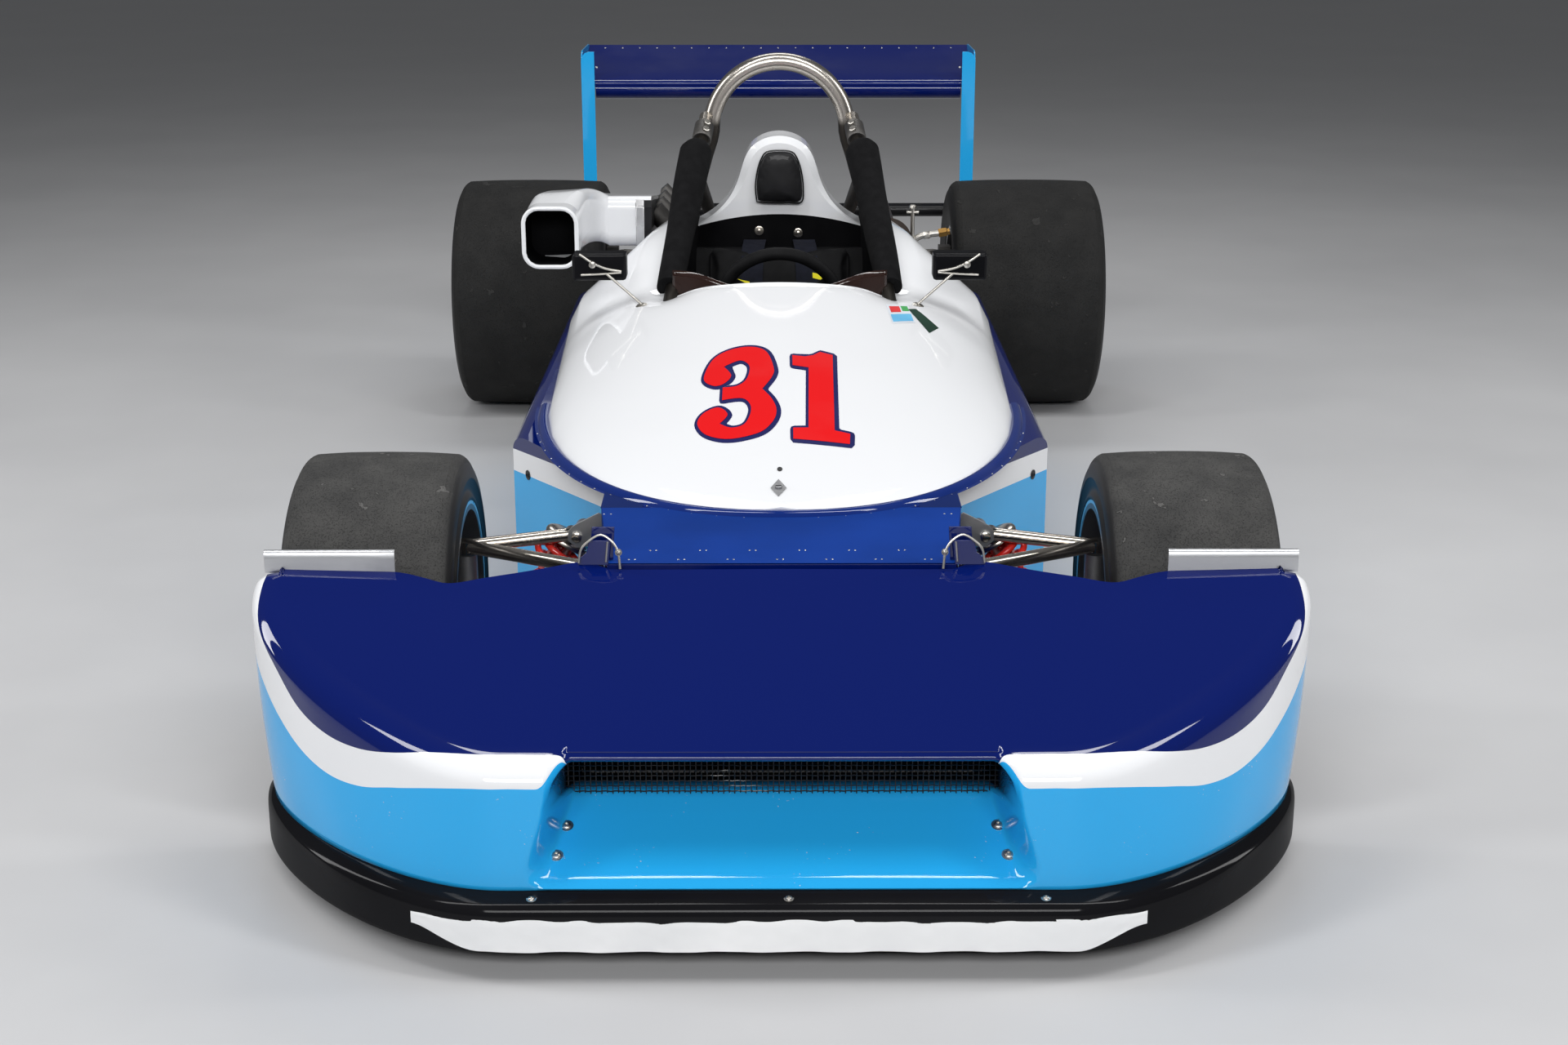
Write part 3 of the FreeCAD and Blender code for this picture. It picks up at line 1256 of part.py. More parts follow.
def rear_links():
    """Lower links, an upper link and two long radius rods on each side."""
    clear = s.pivot_radius + s.seat_gap
    outer = s.carrier_half - s.rear_post / 2 - clear
    inner = s.gear_half + clear
    near = s.rear_post_depth / 2 - s.pivot_radius / 2
    arms = []
    for y, sign in ((s.lower_link_front, -1), (s.lower_link_rear, 1)):
        arms.append((point(outer, s.wheelbase + near * sign, s.link_low), point(inner, y, s.link_low), "Y"))
    arms.append((point(outer, s.wheelbase, s.link_high),
                 point(inner, s.wheelbase + near, s.gear_top - clear), "Y"))
    rod_rear = s.wheelbase - s.rear_post_depth / 2 - clear
    for front_z, rear_z in ((s.rod_high, s.link_high), (s.rod_low, s.link_low)):
        arms.append((point(s.carrier_half, rod_rear, rear_z),
                     point(s.rod_front_half, s.tub_rear + clear, front_z), "Z"))
    return both("rear_links", *[
        fused(*arm(start, end, s.rear_link_tube, s.pivot_radius, s.pivot_radius, end_axis=axis))
        for start, end, axis in arms
    ])


# The engine, its intake and exhaust, and the gearbox.

def engine_block():
    length = s.block_rear - s.tub_rear
    sump = centred_block("sump", s.sump_half, length, s.block_top - s.block_floor, s.tub_rear, s.block_floor)
    case = centred_block("crankcase", s.block_half, length, (s.block_top - s.block_floor) / 2, s.tub_rear,
                         (s.block_top + s.block_floor) / 2)
    head = centred_block("head", s.head_half, length - s.cam_inset * 2, s.head_top - s.block_top,
                         s.tub_rear + s.cam_inset, s.block_top)
    return join("engine_block", sump, case, head)


def cam_covers():
    """Two round topped covers along the head."""
    length = s.block_rear - s.tub_rear - s.cam_inset * 4
    cover = bar("cam_cover", s.cam_radius, length, s.cam_half, s.tub_rear + s.cam_inset * 2, s.head_top, "Y")
    below = centred_block("under_cover", s.head_half * 2, length * 2, s.cam_radius * 2, s.tub_rear,
                          s.head_top - s.cam_radius * 2)
    return both_sides("cam_covers", remove("cam_cover_half", cover, below))


port_count = 4


def port_y(number):
    return s.tub_rear + s.port_first + s.port_pitch * number


def duct_section(inner, outer, low, high, corner):
    """An upright square with round corners between the duct's two walls."""
    low, high, corner = float(low), float(high), float(corner)
    across = (outer - inner).normalize()
    turn = corner * (1 - math.sqrt(0.5))

    def spot(wall, in_from_wall, height):
        way = across if wall is inner else -across
        return wall + way * in_from_wall + FreeCAD.Vector(0, 0, height)

    arcs = [
        (spot(inner, 0, high - corner), spot(inner, turn, high - turn), spot(inner, corner, high)),
        (spot(outer, corner, high), spot(outer, turn, high - turn), spot(outer, 0, high - corner)),
        (spot(outer, 0, low + corner), spot(outer, turn, low + turn), spot(outer, corner, low)),
        (spot(inner, corner, low), spot(inner, turn, low + turn), spot(inner, 0, low + corner)),
    ]
    edges = []
    for arc, following in zip(arcs, arcs[1:] + arcs[:1]):
        edges.append(Part.Arc(*arc).toShape())
        edges.append(Part.makeLine(arc[-1], following[0]))
    return Part.Wire(edges)


def duct_station(turn, inset):
    """The duct at one point of its bend, from facing forward at 0 to facing inboard at a right angle."""
    start = s.airbox_mouth_y + s.airbox_straight
    side = -s.airbox_flange - s.airbox_bend
    round_part = 1 - math.cos(turn)
    back_part = math.sin(turn)
    inner = point(-s.airbox_inner + (side + s.airbox_inner) * round_part,
                  start + (s.airbox_plenum - start) * back_part, 0)
    outer = point(-s.airbox_outer + (side + s.airbox_outer) * round_part,
                  start + (s.airbox_rear - start) * back_part, 0)
    step = (outer - inner).normalize() * float(inset)
    rise = float(s.airbox_arch) * math.sin(turn * 2)
    low = float(s.airbox_floor + inset) + rise
    high = float(s.airbox_top - inset) + rise
    return duct_section(inner + step, outer - step, low, high, s.airbox_round - inset)


def duct_run(inset, first, last, steps):
    """A length of the bend, lofted through evenly turned sections."""
    turns = [first + (last - first) * step / steps for step in range(steps + 1)]
    return Part.makeLoft([duct_station(turn, inset) for turn in turns], True, False)


bend_steps = 6


def intake_airbox():
    """A rounded duct that faces forward beside the roll hoop and turns in to a plenum over the inlets."""
    forward = FreeCAD.Vector(0, -float(s.airbox_straight), 0)
    inboard = FreeCAD.Vector(float(s.airbox_bend), 0, 0)
    quarter = math.pi / 2
    shell = fused(
        prism(duct_station(0, 0), forward),
        duct_run(0, 0, quarter, bend_steps),
        prism(duct_station(quarter, 0), inboard),
    )
    beyond = forward * (1 + float(s.cut_overrun / s.airbox_straight))
    mouth = prism(duct_station(0, s.airbox_wall), beyond)
    throat = duct_run(s.airbox_wall, 0, quarter / 2, bend_steps // 2)
    return shaped("intake_airbox", shell.cut(mouth).cut(throat))


def inlet_trumpets():
    """A tube from each port in the head up to the airbox."""
    tubes = []
    for number in range(port_count):
        y = port_y(number)
        low = point(-s.head_half, y, s.port_height)
        high = point(-s.airbox_flange, y, (s.airbox_top + s.airbox_floor) / 2)
        tubes.append(rod(low, high, s.trumpet_radius))
    joined = Part.makeCompound(tubes)
    size = float(s.wheelbase)
    head_side = Part.makeBox(size, size, size, point(-s.head_half, s.tub_rear, 0))
    box_side = Part.makeBox(size, size, size, point(-s.airbox_flange - s.wheelbase, s.tub_rear, 0))
    return shaped("inlet_trumpets", joined.cut(head_side).cut(box_side))


pipe_spread_share = 1.2
tail_bore_share = 0.4


def exhaust():
    """Four pipes from the head that meet in one tail pipe."""
    pipes = []
    for number in range(port_count):
        y = port_y(number)
        side = s.header_radius * (number - (port_count - 1) / 2) * pipe_spread_share
        reach = s.tail_x + side
        pipes.append(bent_tube([
            point(s.head_half, y, s.port_height), point(reach, y, s.port_height),
            point(reach, s.collector_y, s.tail_z),
        ], s.header_radius, s.header_reach - s.header_radius))
    start = point(s.tail_x, s.collector_y - s.tail_radius * 2, s.tail_z - s.tail_wall)
    cone_end = point(s.tail_x, s.collector_y + s.header_drop, s.tail_z)
    run = cone_end - start
    cone = Part.makeCone(float(s.tail_radius * 2), float(s.tail_radius), run.Length, start, run)
    end = point(s.tail_x, s.tail_end, s.tail_z)
    tail = rod(cone_end, end, s.tail_radius)
    open_end = end - (end - cone_end) * tail_bore_share
    beyond = end + (end - cone_end).normalize() * float(s.cut_overrun)
    bore = rod(open_end, beyond, s.tail_radius - s.tail_wall)
    return shaped("exhaust", fused(cone, tail, *pipes).cut(bore))


def gearbox():
    """The bell housing and the gear case, with the differential's side bosses."""
    height = s.block_top - s.gear_floor
    bell = centred_block("bell_housing", s.bell_half, s.bell_length, height, s.block_rear, s.gear_floor)
    case = centred_block("gear_case", s.gear_half, s.gear_rear - s.bell_rear, s.gear_top - s.gear_floor,
                         s.bell_rear, s.gear_floor)
    boss_half = s.shaft_inner - s.shaft_gap
    boss = bar("side_boss", s.gear_side_boss, boss_half * 2, -boss_half, s.wheelbase, s.rear_tyre_radius, "X")
    bridge_half = s.rear_damper_high_half - s.pivot_radius - s.seat_gap
    bridge = centred_block("damper_bridge", bridge_half, s.pivot_radius * 3,
                           s.rear_damper_high + s.pivot_radius - s.gear_top,
                           s.rear_damper_y - s.pivot_radius * 1.5, s.gear_top)
    return join("gearbox", bell, case, boss, bridge)


# The rear wing, its end plates and the beam at the gearbox.

# The thickness of a wing section along its chord: a sum of powers of the distance from its front edge.
wing_depth_shares = (2.969, -1.2, -3.516, 2.843, -1.015)
wing_powers = (0.5, 1, 2, 3, 4)
arch_share = 4
wing_stations = 10


def wing_section(x):
    """An arched wing section standing on one plane across the car, nose down."""
    chord = float(s.wing_chord)
    depth = float(s.wing_depth_share)
    arch = float(s.wing_camber_share)
    slope = math.radians(float(s.wing_rise))
    upper = []
    lower = []
    for step in range(wing_stations + 1):
        share = (1 - math.cos(math.pi * step / wing_stations)) / 2
        half = depth / 2 * sum(part * share ** power for part, power in zip(wing_depth_shares, wing_powers))
        bow = -arch_share * arch * share * (1 - share)
        for side, spots in ((1, upper), (-1, lower)):
            along = chord * share
            up = chord * (bow + side * half)
            spots.append(point(
                x, s.wing_lead + along * math.cos(slope) - up * math.sin(slope),
                s.wing_lead_z + along * math.sin(slope) + up * math.cos(slope)))
    top = Part.BSplineCurve()
    top.interpolate(upper)
    under = Part.BSplineCurve()
    under.interpolate(lower)
    return Part.Wire([top.toShape(), Part.makeLine(upper[-1], lower[-1]), under.toShape()])


def rear_wing():
    half = s.wing_half - s.plate_thick
    return shaped("rear_wing", prism(wing_section(-half), FreeCAD.Vector(float(half * 2), 0, 0)))


def wing_endplates():
    owner = body("endplate", x=s.wing_half - s.plate_thick)
    corners = [
        (s.plate_front, s.plate_floor), (s.plate_rear, s.plate_floor),
        (s.plate_rear, s.plate_top), (s.plate_front, s.plate_top),
    ]
    owner.Tip = pad(owner, sketch(owner, "YZ_Plane", corners), s.plate_thick)
    document.recompute()

    def crossing(edge):
        return edge.Length < float(s.plate_thick + s.seat_gap)

    return both_sides("wing_endplates", round_edges(owner, s.plate_corner, crossing))


def wing_beam():
    """A cross beam between the end plates and its two arms from the gearbox."""
    half = s.wing_half - s.plate_thick
    beam = bar("cross_beam", s.beam_radius, half * 2, -half, s.beam_y, s.beam_z, "X")
    pieces = [beam]
    for side in (1, -1):
        x = s.beam_arm_half * side - s.beam_arm / 2
        long_arm = block("beam_arm", s.beam_arm, s.beam_y - s.gear_rear, s.beam_radius * 2,
                         x, s.gear_rear, s.gear_top - s.beam_radius * 2)
        riser = block("beam_riser", s.beam_arm, s.beam_radius * 2, s.beam_z - s.gear_top + s.beam_radius * 2,
                      x, s.beam_y - s.beam_radius, s.gear_top - s.beam_radius * 2)
        pieces += [long_arm, riser]
    return join("wing_beam", *pieces)


def jack_bar():
    """A cross bar on two arms from the gearbox, with thicker ends for the jack's cups."""
    pieces = [bar("jack_tube", s.jack_tube, s.jack_half * 2, -s.jack_half, s.jack_y, s.jack_z, "X")]
    for start in (-s.jack_half, s.jack_half - s.jack_grip_length):
        pieces.append(bar("jack_grip", s.jack_grip, s.jack_grip_length, start, s.jack_y, s.jack_z, "X"))
    for side in (1, -1):
        pieces.append(block("jack_arm", s.beam_arm, s.jack_y - s.gear_rear, s.jack_tube * 2,
                            s.beam_arm_half * side - s.beam_arm / 2, s.gear_rear, s.jack_z - s.jack_tube))
    return join("jack_bar", *pieces)


def tow_eye():
    """A flat eye bolted on the gearbox's rear face."""
    x = -s.eye_thick / 2
    shank = block("eye_shank", s.eye_thick, s.eye_y - s.gear_rear, s.eye_radius, x, s.gear_rear,
                  s.eye_z - s.eye_radius / 2)
    ring = bar("eye_ring", s.eye_radius, s.eye_thick, x, s.eye_y, s.eye_z, "X")
    through = s.eye_thick + s.cut_overrun * 2
    hole = bar("eye_hole", s.eye_bore, through, x - s.cut_overrun, s.eye_y, s.eye_z, "X")
    return remove("tow_eye", join("eye_plate", shank, ring), hole)


# The whole car.

def car():
    pieces = [
        nose_cone(), nose_splitter(), nose_grille(), nose_gurneys(), tub(), radiators(), cockpit_surround(),
        windscreen(), headrest_fairing(), headrest_pad(), roll_hoop(), brace_pads(), dashboard(), seat(),
        steering_wheel(), mirrors(), steering_rack(), rear_calipers(), front_wishbones(), front_brackets(),
        dampers(), springs(), rear_uprights(), rear_links(), engine_block(), cam_covers(), intake_airbox(),
        inlet_trumpets(), exhaust(), gearbox(), rear_wing(), wing_endplates(), wing_beam(), jack_bar(),
        tow_eye(),
    ]
    pieces += side_pod() + front_upright() + front_calipers() + wheels()
    return pieces


def check(pieces):
    """Every object has to be sound before anything is written."""
    document.recompute()
    for item in document.Objects:
        if {"Invalid", "Error"} & set(item.State):
            raise RuntimeError(f"{item.Name} failed: {item.State}")
    for piece in pieces:
        if piece.Shape.isNull() or not piece.Shape.isValid():
            raise RuntimeError(f"{piece.Name} has no sound shape")


def write(pieces):
    os.makedirs("parts", exist_ok=True)
    for piece in pieces:
        piece.Label = piece.Name
        piece.Shape.exportStep(f"parts/{piece.Label}.step")
        box = piece.Shape.BoundBox
        print(piece.Label, len(piece.Shape.Solids), round(piece.Shape.Volume / 1000),
              [round(value) for value in (box.XMin, box.XMax, box.YMin, box.YMax, box.ZMin, box.ZMax)])


parts = car()
check(parts)
write(parts)
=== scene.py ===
# %% [markdown]
# # An open wheel racing car, dressed for its photograph
# The car is a narrow aluminium tub with its wheels out in the air, a wide wedge of a nose,
# a white cockpit surround and a wing at the back. The frame brings the solids; this script
# gives them paint, metal, rubber and light, and adds what is too small or too soft to be
# built as a solid. Every size is in millimetres from the front axle, as on the drawing,
# and is turned into the row frame's metres only where a mesh is made.

import math

import bmesh
import bpy
import numpy as np
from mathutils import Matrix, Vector


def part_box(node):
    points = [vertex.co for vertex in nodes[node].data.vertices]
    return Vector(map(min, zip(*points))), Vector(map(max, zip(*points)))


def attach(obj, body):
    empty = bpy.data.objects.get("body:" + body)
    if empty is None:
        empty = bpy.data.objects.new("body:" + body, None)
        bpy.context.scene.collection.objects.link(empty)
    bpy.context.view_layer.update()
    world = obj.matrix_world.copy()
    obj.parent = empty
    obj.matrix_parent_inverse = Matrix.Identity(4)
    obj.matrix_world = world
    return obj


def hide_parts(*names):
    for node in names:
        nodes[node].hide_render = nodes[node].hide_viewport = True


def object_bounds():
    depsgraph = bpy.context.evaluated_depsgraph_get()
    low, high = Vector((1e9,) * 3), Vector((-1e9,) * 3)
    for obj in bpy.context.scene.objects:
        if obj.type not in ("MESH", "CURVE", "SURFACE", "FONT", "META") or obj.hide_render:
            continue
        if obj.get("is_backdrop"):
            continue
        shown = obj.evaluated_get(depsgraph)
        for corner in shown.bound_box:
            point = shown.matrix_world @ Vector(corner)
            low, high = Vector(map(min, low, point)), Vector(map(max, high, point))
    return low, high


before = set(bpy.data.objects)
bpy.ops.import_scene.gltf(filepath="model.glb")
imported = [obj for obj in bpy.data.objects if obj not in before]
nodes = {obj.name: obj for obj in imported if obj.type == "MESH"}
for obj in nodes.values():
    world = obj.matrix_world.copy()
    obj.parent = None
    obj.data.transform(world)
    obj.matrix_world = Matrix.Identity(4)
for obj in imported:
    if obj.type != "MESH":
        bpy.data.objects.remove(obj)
box_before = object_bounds()
print("nodes carried:", len(nodes))

# %% [markdown]
# ## Measures
# The drawing starts at the front axle and the row frame starts at the middle of the car,
# so one shift along the car joins them. It is read from the front rim, which sits on the axle.

# %% Measures
MM = 0.001
RIM_LOW, RIM_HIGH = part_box("front_rim_left")
AXLE_SHIFT = (RIM_LOW.y + RIM_HIGH.y) / 2


def at(x, y, z):
    """A place on the drawing, in the row frame."""
    return Vector((x * MM, y * MM + AXLE_SHIFT, z * MM))


def on_drawing(place):
    """A place in the row frame, in the drawing's millimetres."""
    return np.array([place.x / MM, (place.y - AXLE_SHIFT) / MM, place.z / MM])


def drawn(node):
    """The corners of a carried solid on the drawing, in millimetres."""
    low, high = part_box(node)
    shift = Vector((0, AXLE_SHIFT, 0))
    return (low - shift) / MM, (high - shift) / MM


print("front axle at", round(AXLE_SHIFT, 3), "in the row frame")

# %% [markdown]
# ## Forms
# Sheet metal, tube, turned and moulded pieces are all swept or turned shapes on the real car.
# A form gathers such shapes as points and faces and makes one object of them, so that
# fifty rivets cost one object. Doing it with arrays keeps each shape a formula.

# %% Forms
WELD_GAP, DROP_HEIGHT, CRISP = 0.05, 1800.0, 32


class Form:
    """Points and faces of one piece, gathered from simple shapes."""

    def __init__(self):
        self.points = []
        self.faces = []
        self.marks = {}

    def add(self, points, faces, **marks):
        start = len(self.points)
        self.points += [tuple(p) for p in points]
        self.faces += [[start + i for i in face] for face in faces]
        for key, values in marks.items():
            self.marks.setdefault(key, [0.0] * start).extend(float(v) for v in values)
        return self

    def grid(self, rows, ring=False, shut=False, **marks):
        """A net of points, rows by columns. A ring joins the last column to the first."""
        rows = np.asarray(rows, float)
        count, width = rows.shape[:2]
        faces = []
        for i in range(count - 1):
            for j in range(width if ring else width - 1):
                k = (j + 1) % width
                faces.append([i * width + j, i * width + k, (i + 1) * width + k, (i + 1) * width + j])
        if shut:
            faces.append(list(range(width))[::-1])
            faces.append([(count - 1) * width + j for j in range(width)])
        return self.add(rows.reshape(-1, 3), faces, **marks)

    def tube(self, path, radius, sides=12, ring=False):
        """A round bar along a path. The radius may change from point to point."""
        path = np.asarray(path, float)
        radii = np.broadcast_to(np.asarray(radius, float), (len(path),))
        ahead = np.roll(path, -1, 0) - np.roll(path, 1, 0)
        if not ring:
            ahead[0], ahead[-1] = path[1] - path[0], path[-1] - path[-2]
        ahead /= np.linalg.norm(ahead, axis=1)[:, None]
        side = np.cross(ahead[0], (0.13, 0.27, 0.95))
        turns = np.linspace(0, math.tau, sides, endpoint=False)
        rows = []
        for centre, forward, size in zip(path, ahead, radii):
            side = side - forward * side.dot(forward)
            side /= np.linalg.norm(side)
            up = np.cross(forward, side)
            rows.append([centre + size * (math.cos(a) * side + math.sin(a) * up) for a in turns])
        if ring:
            rows.append(rows[0])
        return self.grid(rows, ring=True, shut=not ring)

    def turned(self, profile, centre, axis, steps=32):
        """A profile of (along, radius) turned about an axis."""
        axis = np.asarray(axis, float) / np.linalg.norm(axis)
        side = np.cross(axis, (0.31, 0.17, 0.93))
        side /= np.linalg.norm(side)
        up = np.cross(axis, side)
        turns = np.linspace(0, math.tau, steps, endpoint=False)
        rows = []
        for along, radius in profile:
            middle = np.asarray(centre, float) + axis * along
            rows.append([middle + radius * (math.cos(a) * side + math.sin(a) * up) for a in turns])
        return self.grid(rows, ring=True, shut=True)

    def block(self, low, high):
        (a, b, c), (d, e, f) = low, high
        corners = [(a, b, c), (d, b, c), (d, e, c), (a, e, c), (a, b, f), (d, b, f), (d, e, f), (a, e, f)]
        sides = [(3, 2, 1, 0), (4, 5, 6, 7), (0, 1, 5, 4), (1, 2, 6, 5), (2, 3, 7, 6), (3, 0, 4, 7)]
        return self.add(corners, sides)

    def mirrored(self):
        """Adds the other side of the car."""
        count = len(self.points)
        self.points += [(-x, y, z) for x, y, z in self.points]
        self.faces += [[count + i for i in reversed(face)] for face in self.faces]
        for values in self.marks.values():
            values += values[:count]
        return self

    def make(self, name, finish, body="chassis", stands_for=(), slot=None, smooth=35, bevel=0.0):
        data = bpy.data.meshes.new(name)
        data.from_pydata([at(*p) for p in self.points], [], self.faces)
        for key, values in self.marks.items():
            layer = data.attributes.new(key, "FLOAT", "POINT")
            layer.data.foreach_set("value", np.asarray(values, np.float32))
        piece = bpy.data.objects.new(name, data)
        bpy.context.scene.collection.objects.link(piece)
        mesh = bmesh.new()
        mesh.from_mesh(data)
        bmesh.ops.recalc_face_normals(mesh, faces=mesh.faces)
        mesh.to_mesh(data)
        mesh.free()
        dress(piece, finish, smooth, bevel)
        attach(piece, body)
        if stands_for:
            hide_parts(*stands_for)
        return piece


def soften(piece, bevel, smooth=CRISP):
    """Breaks a piece's sharp edges."""
    edge = piece.modifiers.new("soft edges", "BEVEL")
    edge.width = bevel * MM
    edge.segments = 2
    edge.limit_method = "ANGLE"
    edge.angle_limit = math.radians(smooth)
    edge.harden_normals = True


def dress(piece, finish, smooth=35, bevel=0.0):
    """Gives a piece its material, smooth faces with crisp edges, and softened corners."""
    piece.data.materials.clear()
    piece.data.materials.append(finish)
    piece.data.shade_smooth()
    piece.data.set_sharp_from_angle(angle=math.radians(smooth))
    if bevel:
        soften(piece, bevel, smooth)
    return piece


def bend(points, steps=8):
    """A smooth run through points, by a curve that passes each of them."""
    points = np.asarray(points, float)
    before = np.vstack([2 * points[0] - points[1], points, 2 * points[-1] - points[-2]])
    run = []
    for a, b, c, d in zip(before, before[1:], before[2:], before[3:]):
        for t in np.linspace(0, 1, steps, endpoint=False):
            run.append(b + t / 2 * (c - a + t * (2 * a - 5 * b + 4 * c - d + t * (3 * (b - c) + d - a))))
    run.append(points[-1])
    return np.array(run)


def ease(value, low, high):
    """0 below low, 1 above high and a smooth rise between."""
    t = np.clip((np.asarray(value, float) - low) / (high - low), 0, 1)
    return t * t * (3 - 2 * t)


def weld(piece):
    """Joins the two halves of a skin along the middle and turns every face outward."""
    mesh = bmesh.new()
    mesh.from_mesh(piece.data)
    bmesh.ops.remove_doubles(mesh, verts=mesh.verts, dist=WELD_GAP * MM)
    bmesh.ops.recalc_face_normals(mesh, faces=mesh.faces)
    if sum(face.normal.z for face in mesh.faces) < 0:
        bmesh.ops.reverse_faces(mesh, faces=mesh.faces)
    mesh.to_mesh(piece.data)
    mesh.free()


def thicken(piece, wall):
    """Gives a skin its wall, inward from the outer face."""
    skin = piece.modifiers.new("wall", "SOLIDIFY")
    skin.thickness, skin.offset = wall * MM, -1
    return skin


def landed(piece, x, y):
    """Where a point that falls from above meets a piece, and the outward direction there."""
    _, place, normal, _ = piece.ray_cast(at(x, y, DROP_HEIGHT), Vector((0, 0, -1)))
    return on_drawing(place), np.array(normal)


print("forms ready")

# %% [markdown]
# ## Materials
# Paint on glass fibre is a colour under a clear coat with a faint orange peel. Bare metal,
# rubber and foam differ mostly in roughness, which is never even: hands, oil and weather
# break it up. Each finish is worked out from noise in the piece's own place, so no picture is used.


# %% Shader sums
class Value:
    """One output of a shader network, which can be used in plain sums."""

    def __init__(self, finish, socket):
        self.finish = finish
        self.socket = socket

    def sum(self, operation, *others):
        return self.finish.node("ShaderNodeMath", {"operation": operation}, [self, *others])

    def __add__(self, other):
        return self.sum("ADD", other)

    def __mul__(self, other):
        return self.sum("MULTIPLY", other)

    def __sub__(self, other):
        return self.sum("SUBTRACT", other)

    def __rsub__(self, other):
        return self.finish.node("ShaderNodeMath", {"operation": "SUBTRACT"}, [other, self])

    def __truediv__(self, other):
        return self.sum("DIVIDE", other)

    __radd__ = __add__
    __rmul__ = __mul__

    def above(self, limit, soft=0.0):
        """1 where the value is above the limit, with a soft step where one is asked."""
        if not soft:
            return self.sum("GREATER_THAN", limit)
        return self.finish.node("ShaderNodeMapRange", {"interpolation_type": "SMOOTHSTEP"},
                                [self, limit - soft, limit + soft])


class Finish:
    """A material whose network is written as sums."""

    def __init__(self, name):
        self.material = bpy.data.materials.new(name)
        self.material.use_nodes = True
        self.tree = self.material.node_tree
        self.shader = next(n for n in self.tree.nodes if n.type == "BSDF_PRINCIPLED")
        self.place = self.node("ShaderNodeTexCoord", {}, [], "Object")

    def node(self, kind, settings, inputs, output=0):
        made = self.tree.nodes.new(kind)
        for key, value in settings.items():
            setattr(made, key, value)
        pairs = inputs.items() if isinstance(inputs, dict) else enumerate(inputs)
        for key, value in pairs:
            if isinstance(value, Value):
                self.tree.links.new(value.socket, made.inputs[key])
            elif value is not None:
                made.inputs[key].default_value = value
        return Value(self, made.outputs[output])

    def noise(self, size, detail=2.0, rough=0.5):
        """Even noise from 0 to 1 whose patches are about size millimetres wide."""
        inputs = {"Vector": self.place, "Scale": 1 / (size * MM), "Detail": detail, "Roughness": rough}
        return self.node("ShaderNodeTexNoise", {}, inputs, 0)

    def axes(self):
        """The place along x, y and z, in metres."""
        parts = self.node("ShaderNodeSeparateXYZ", {}, [self.place]).socket.node
        return [Value(self, parts.outputs[i]) for i in range(3)]

    def from_axle(self, axle, radius):
        """The distance from a wheel's axle, in metres."""
        _, along, up = self.axes()
        out_y = along - (axle * MM + AXLE_SHIFT)
        out_z = up - radius * MM
        return (out_y * out_y + out_z * out_z).sum("SQRT")

    def peel(self, broad=9, fine=2.2):
        """The orange peel of sprayed paint, as two sizes of soft noise."""
        return self.noise(broad, 2) * 0.6 + self.noise(fine, 1) * 0.4

    def mark(self, name):
        """A value that the mesh carries at each point."""
        return self.node("ShaderNodeAttribute", {"attribute_name": name}, [], "Fac")

    def mix(self, share, low, high):
        """One colour to another."""
        made = self.node("ShaderNodeMix", {"data_type": "RGBA"}, {0: share}, 2)
        for slot, colour in ((6, low), (7, high)):
            if isinstance(colour, Value):
                self.tree.links.new(colour.socket, made.socket.node.inputs[slot])
            else:
                made.socket.node.inputs[slot].default_value = (*colour, 1)
        return made

    def bump(self, height, depth):
        """A surface relief, with its depth in millimetres."""
        inputs = {"Height": height, "Distance": depth * MM, "Strength": 1.0}
        return self.node("ShaderNodeBump", {}, inputs, 0)

    def done(self, **inputs):
        for key, value in inputs.items():
            socket = self.shader.inputs[key.replace("_", " ")]
            if isinstance(value, Value):
                self.tree.links.new(value.socket, socket)
            elif isinstance(value, tuple):
                socket.default_value = (*value, 1)
            else:
                socket.default_value = value
        return self.material


print("shader sums ready")

# %% Colours
NAVY = (0.0012, 0.0085, 0.112)
SKY = (0.020, 0.400, 0.83)
WHITE = (0.84, 0.85, 0.87)
RED = (0.80, 0.001, 0.003)
SOOT = (0.005, 0.005, 0.006)
CLEAR = {"Coat_Weight": 1.0, "Coat_Roughness": 0.035, "Specular_IOR_Level": 0.0}


# %% Paint and metal
def paint(name, colour, rough=0.32):
    """Two-pack paint: a colour under a clear coat, with orange peel and a little dust."""
    f = Finish(name)
    peel = f.peel()
    dust = f.noise(180, 5).above(0.56, 0.14)
    return f.done(Base_Color=f.mix(dust * 0.02, colour, (0.5, 0.5, 0.5)), Roughness=dust * 0.10 + rough,
                  Normal=f.bump(peel, 0.03), **CLEAR)


def metal(name, colour, rough, grain=40.0, uneven=0.12, depth=0.05):
    """Bare metal with a roughness that wanders, and a fine grain."""
    f = Finish(name)
    wander = f.noise(grain, 4)
    grime = f.noise(grain * 3, 5, 0.6).above(0.6, 0.12)
    dull = tuple(c * 0.55 for c in colour)
    return f.done(Base_Color=f.mix(grime * 0.5, colour, dull), Metallic=1.0,
                  Roughness=wander * uneven + grime * 0.12 + rough, Normal=f.bump(f.noise(grain / 12, 3), depth))


def plain(name, colour, rough, grain=6.0, depth=0.1, coat=0.0, uneven=0.1, shine=0.22):
    """Rubber, foam, plastic or cloth: a dull colour with a relief."""
    f = Finish(name)
    patch = f.noise(grain * 12, 4)
    light = tuple(min(1, c * 1.8 + 0.004) for c in colour)
    return f.done(Base_Color=f.mix(patch.above(0.5, 0.3) * 0.6, colour, light), Roughness=patch * uneven + rough,
                  Coat_Weight=coat, Coat_Roughness=0.08, Specular_IOR_Level=shine,
                  Normal=f.bump(f.noise(grain, 4, 0.6), depth))


navy_paint = paint("navy paint", NAVY)
sky_paint = paint("sky blue paint", SKY)
white_paint = paint("white paint", WHITE)

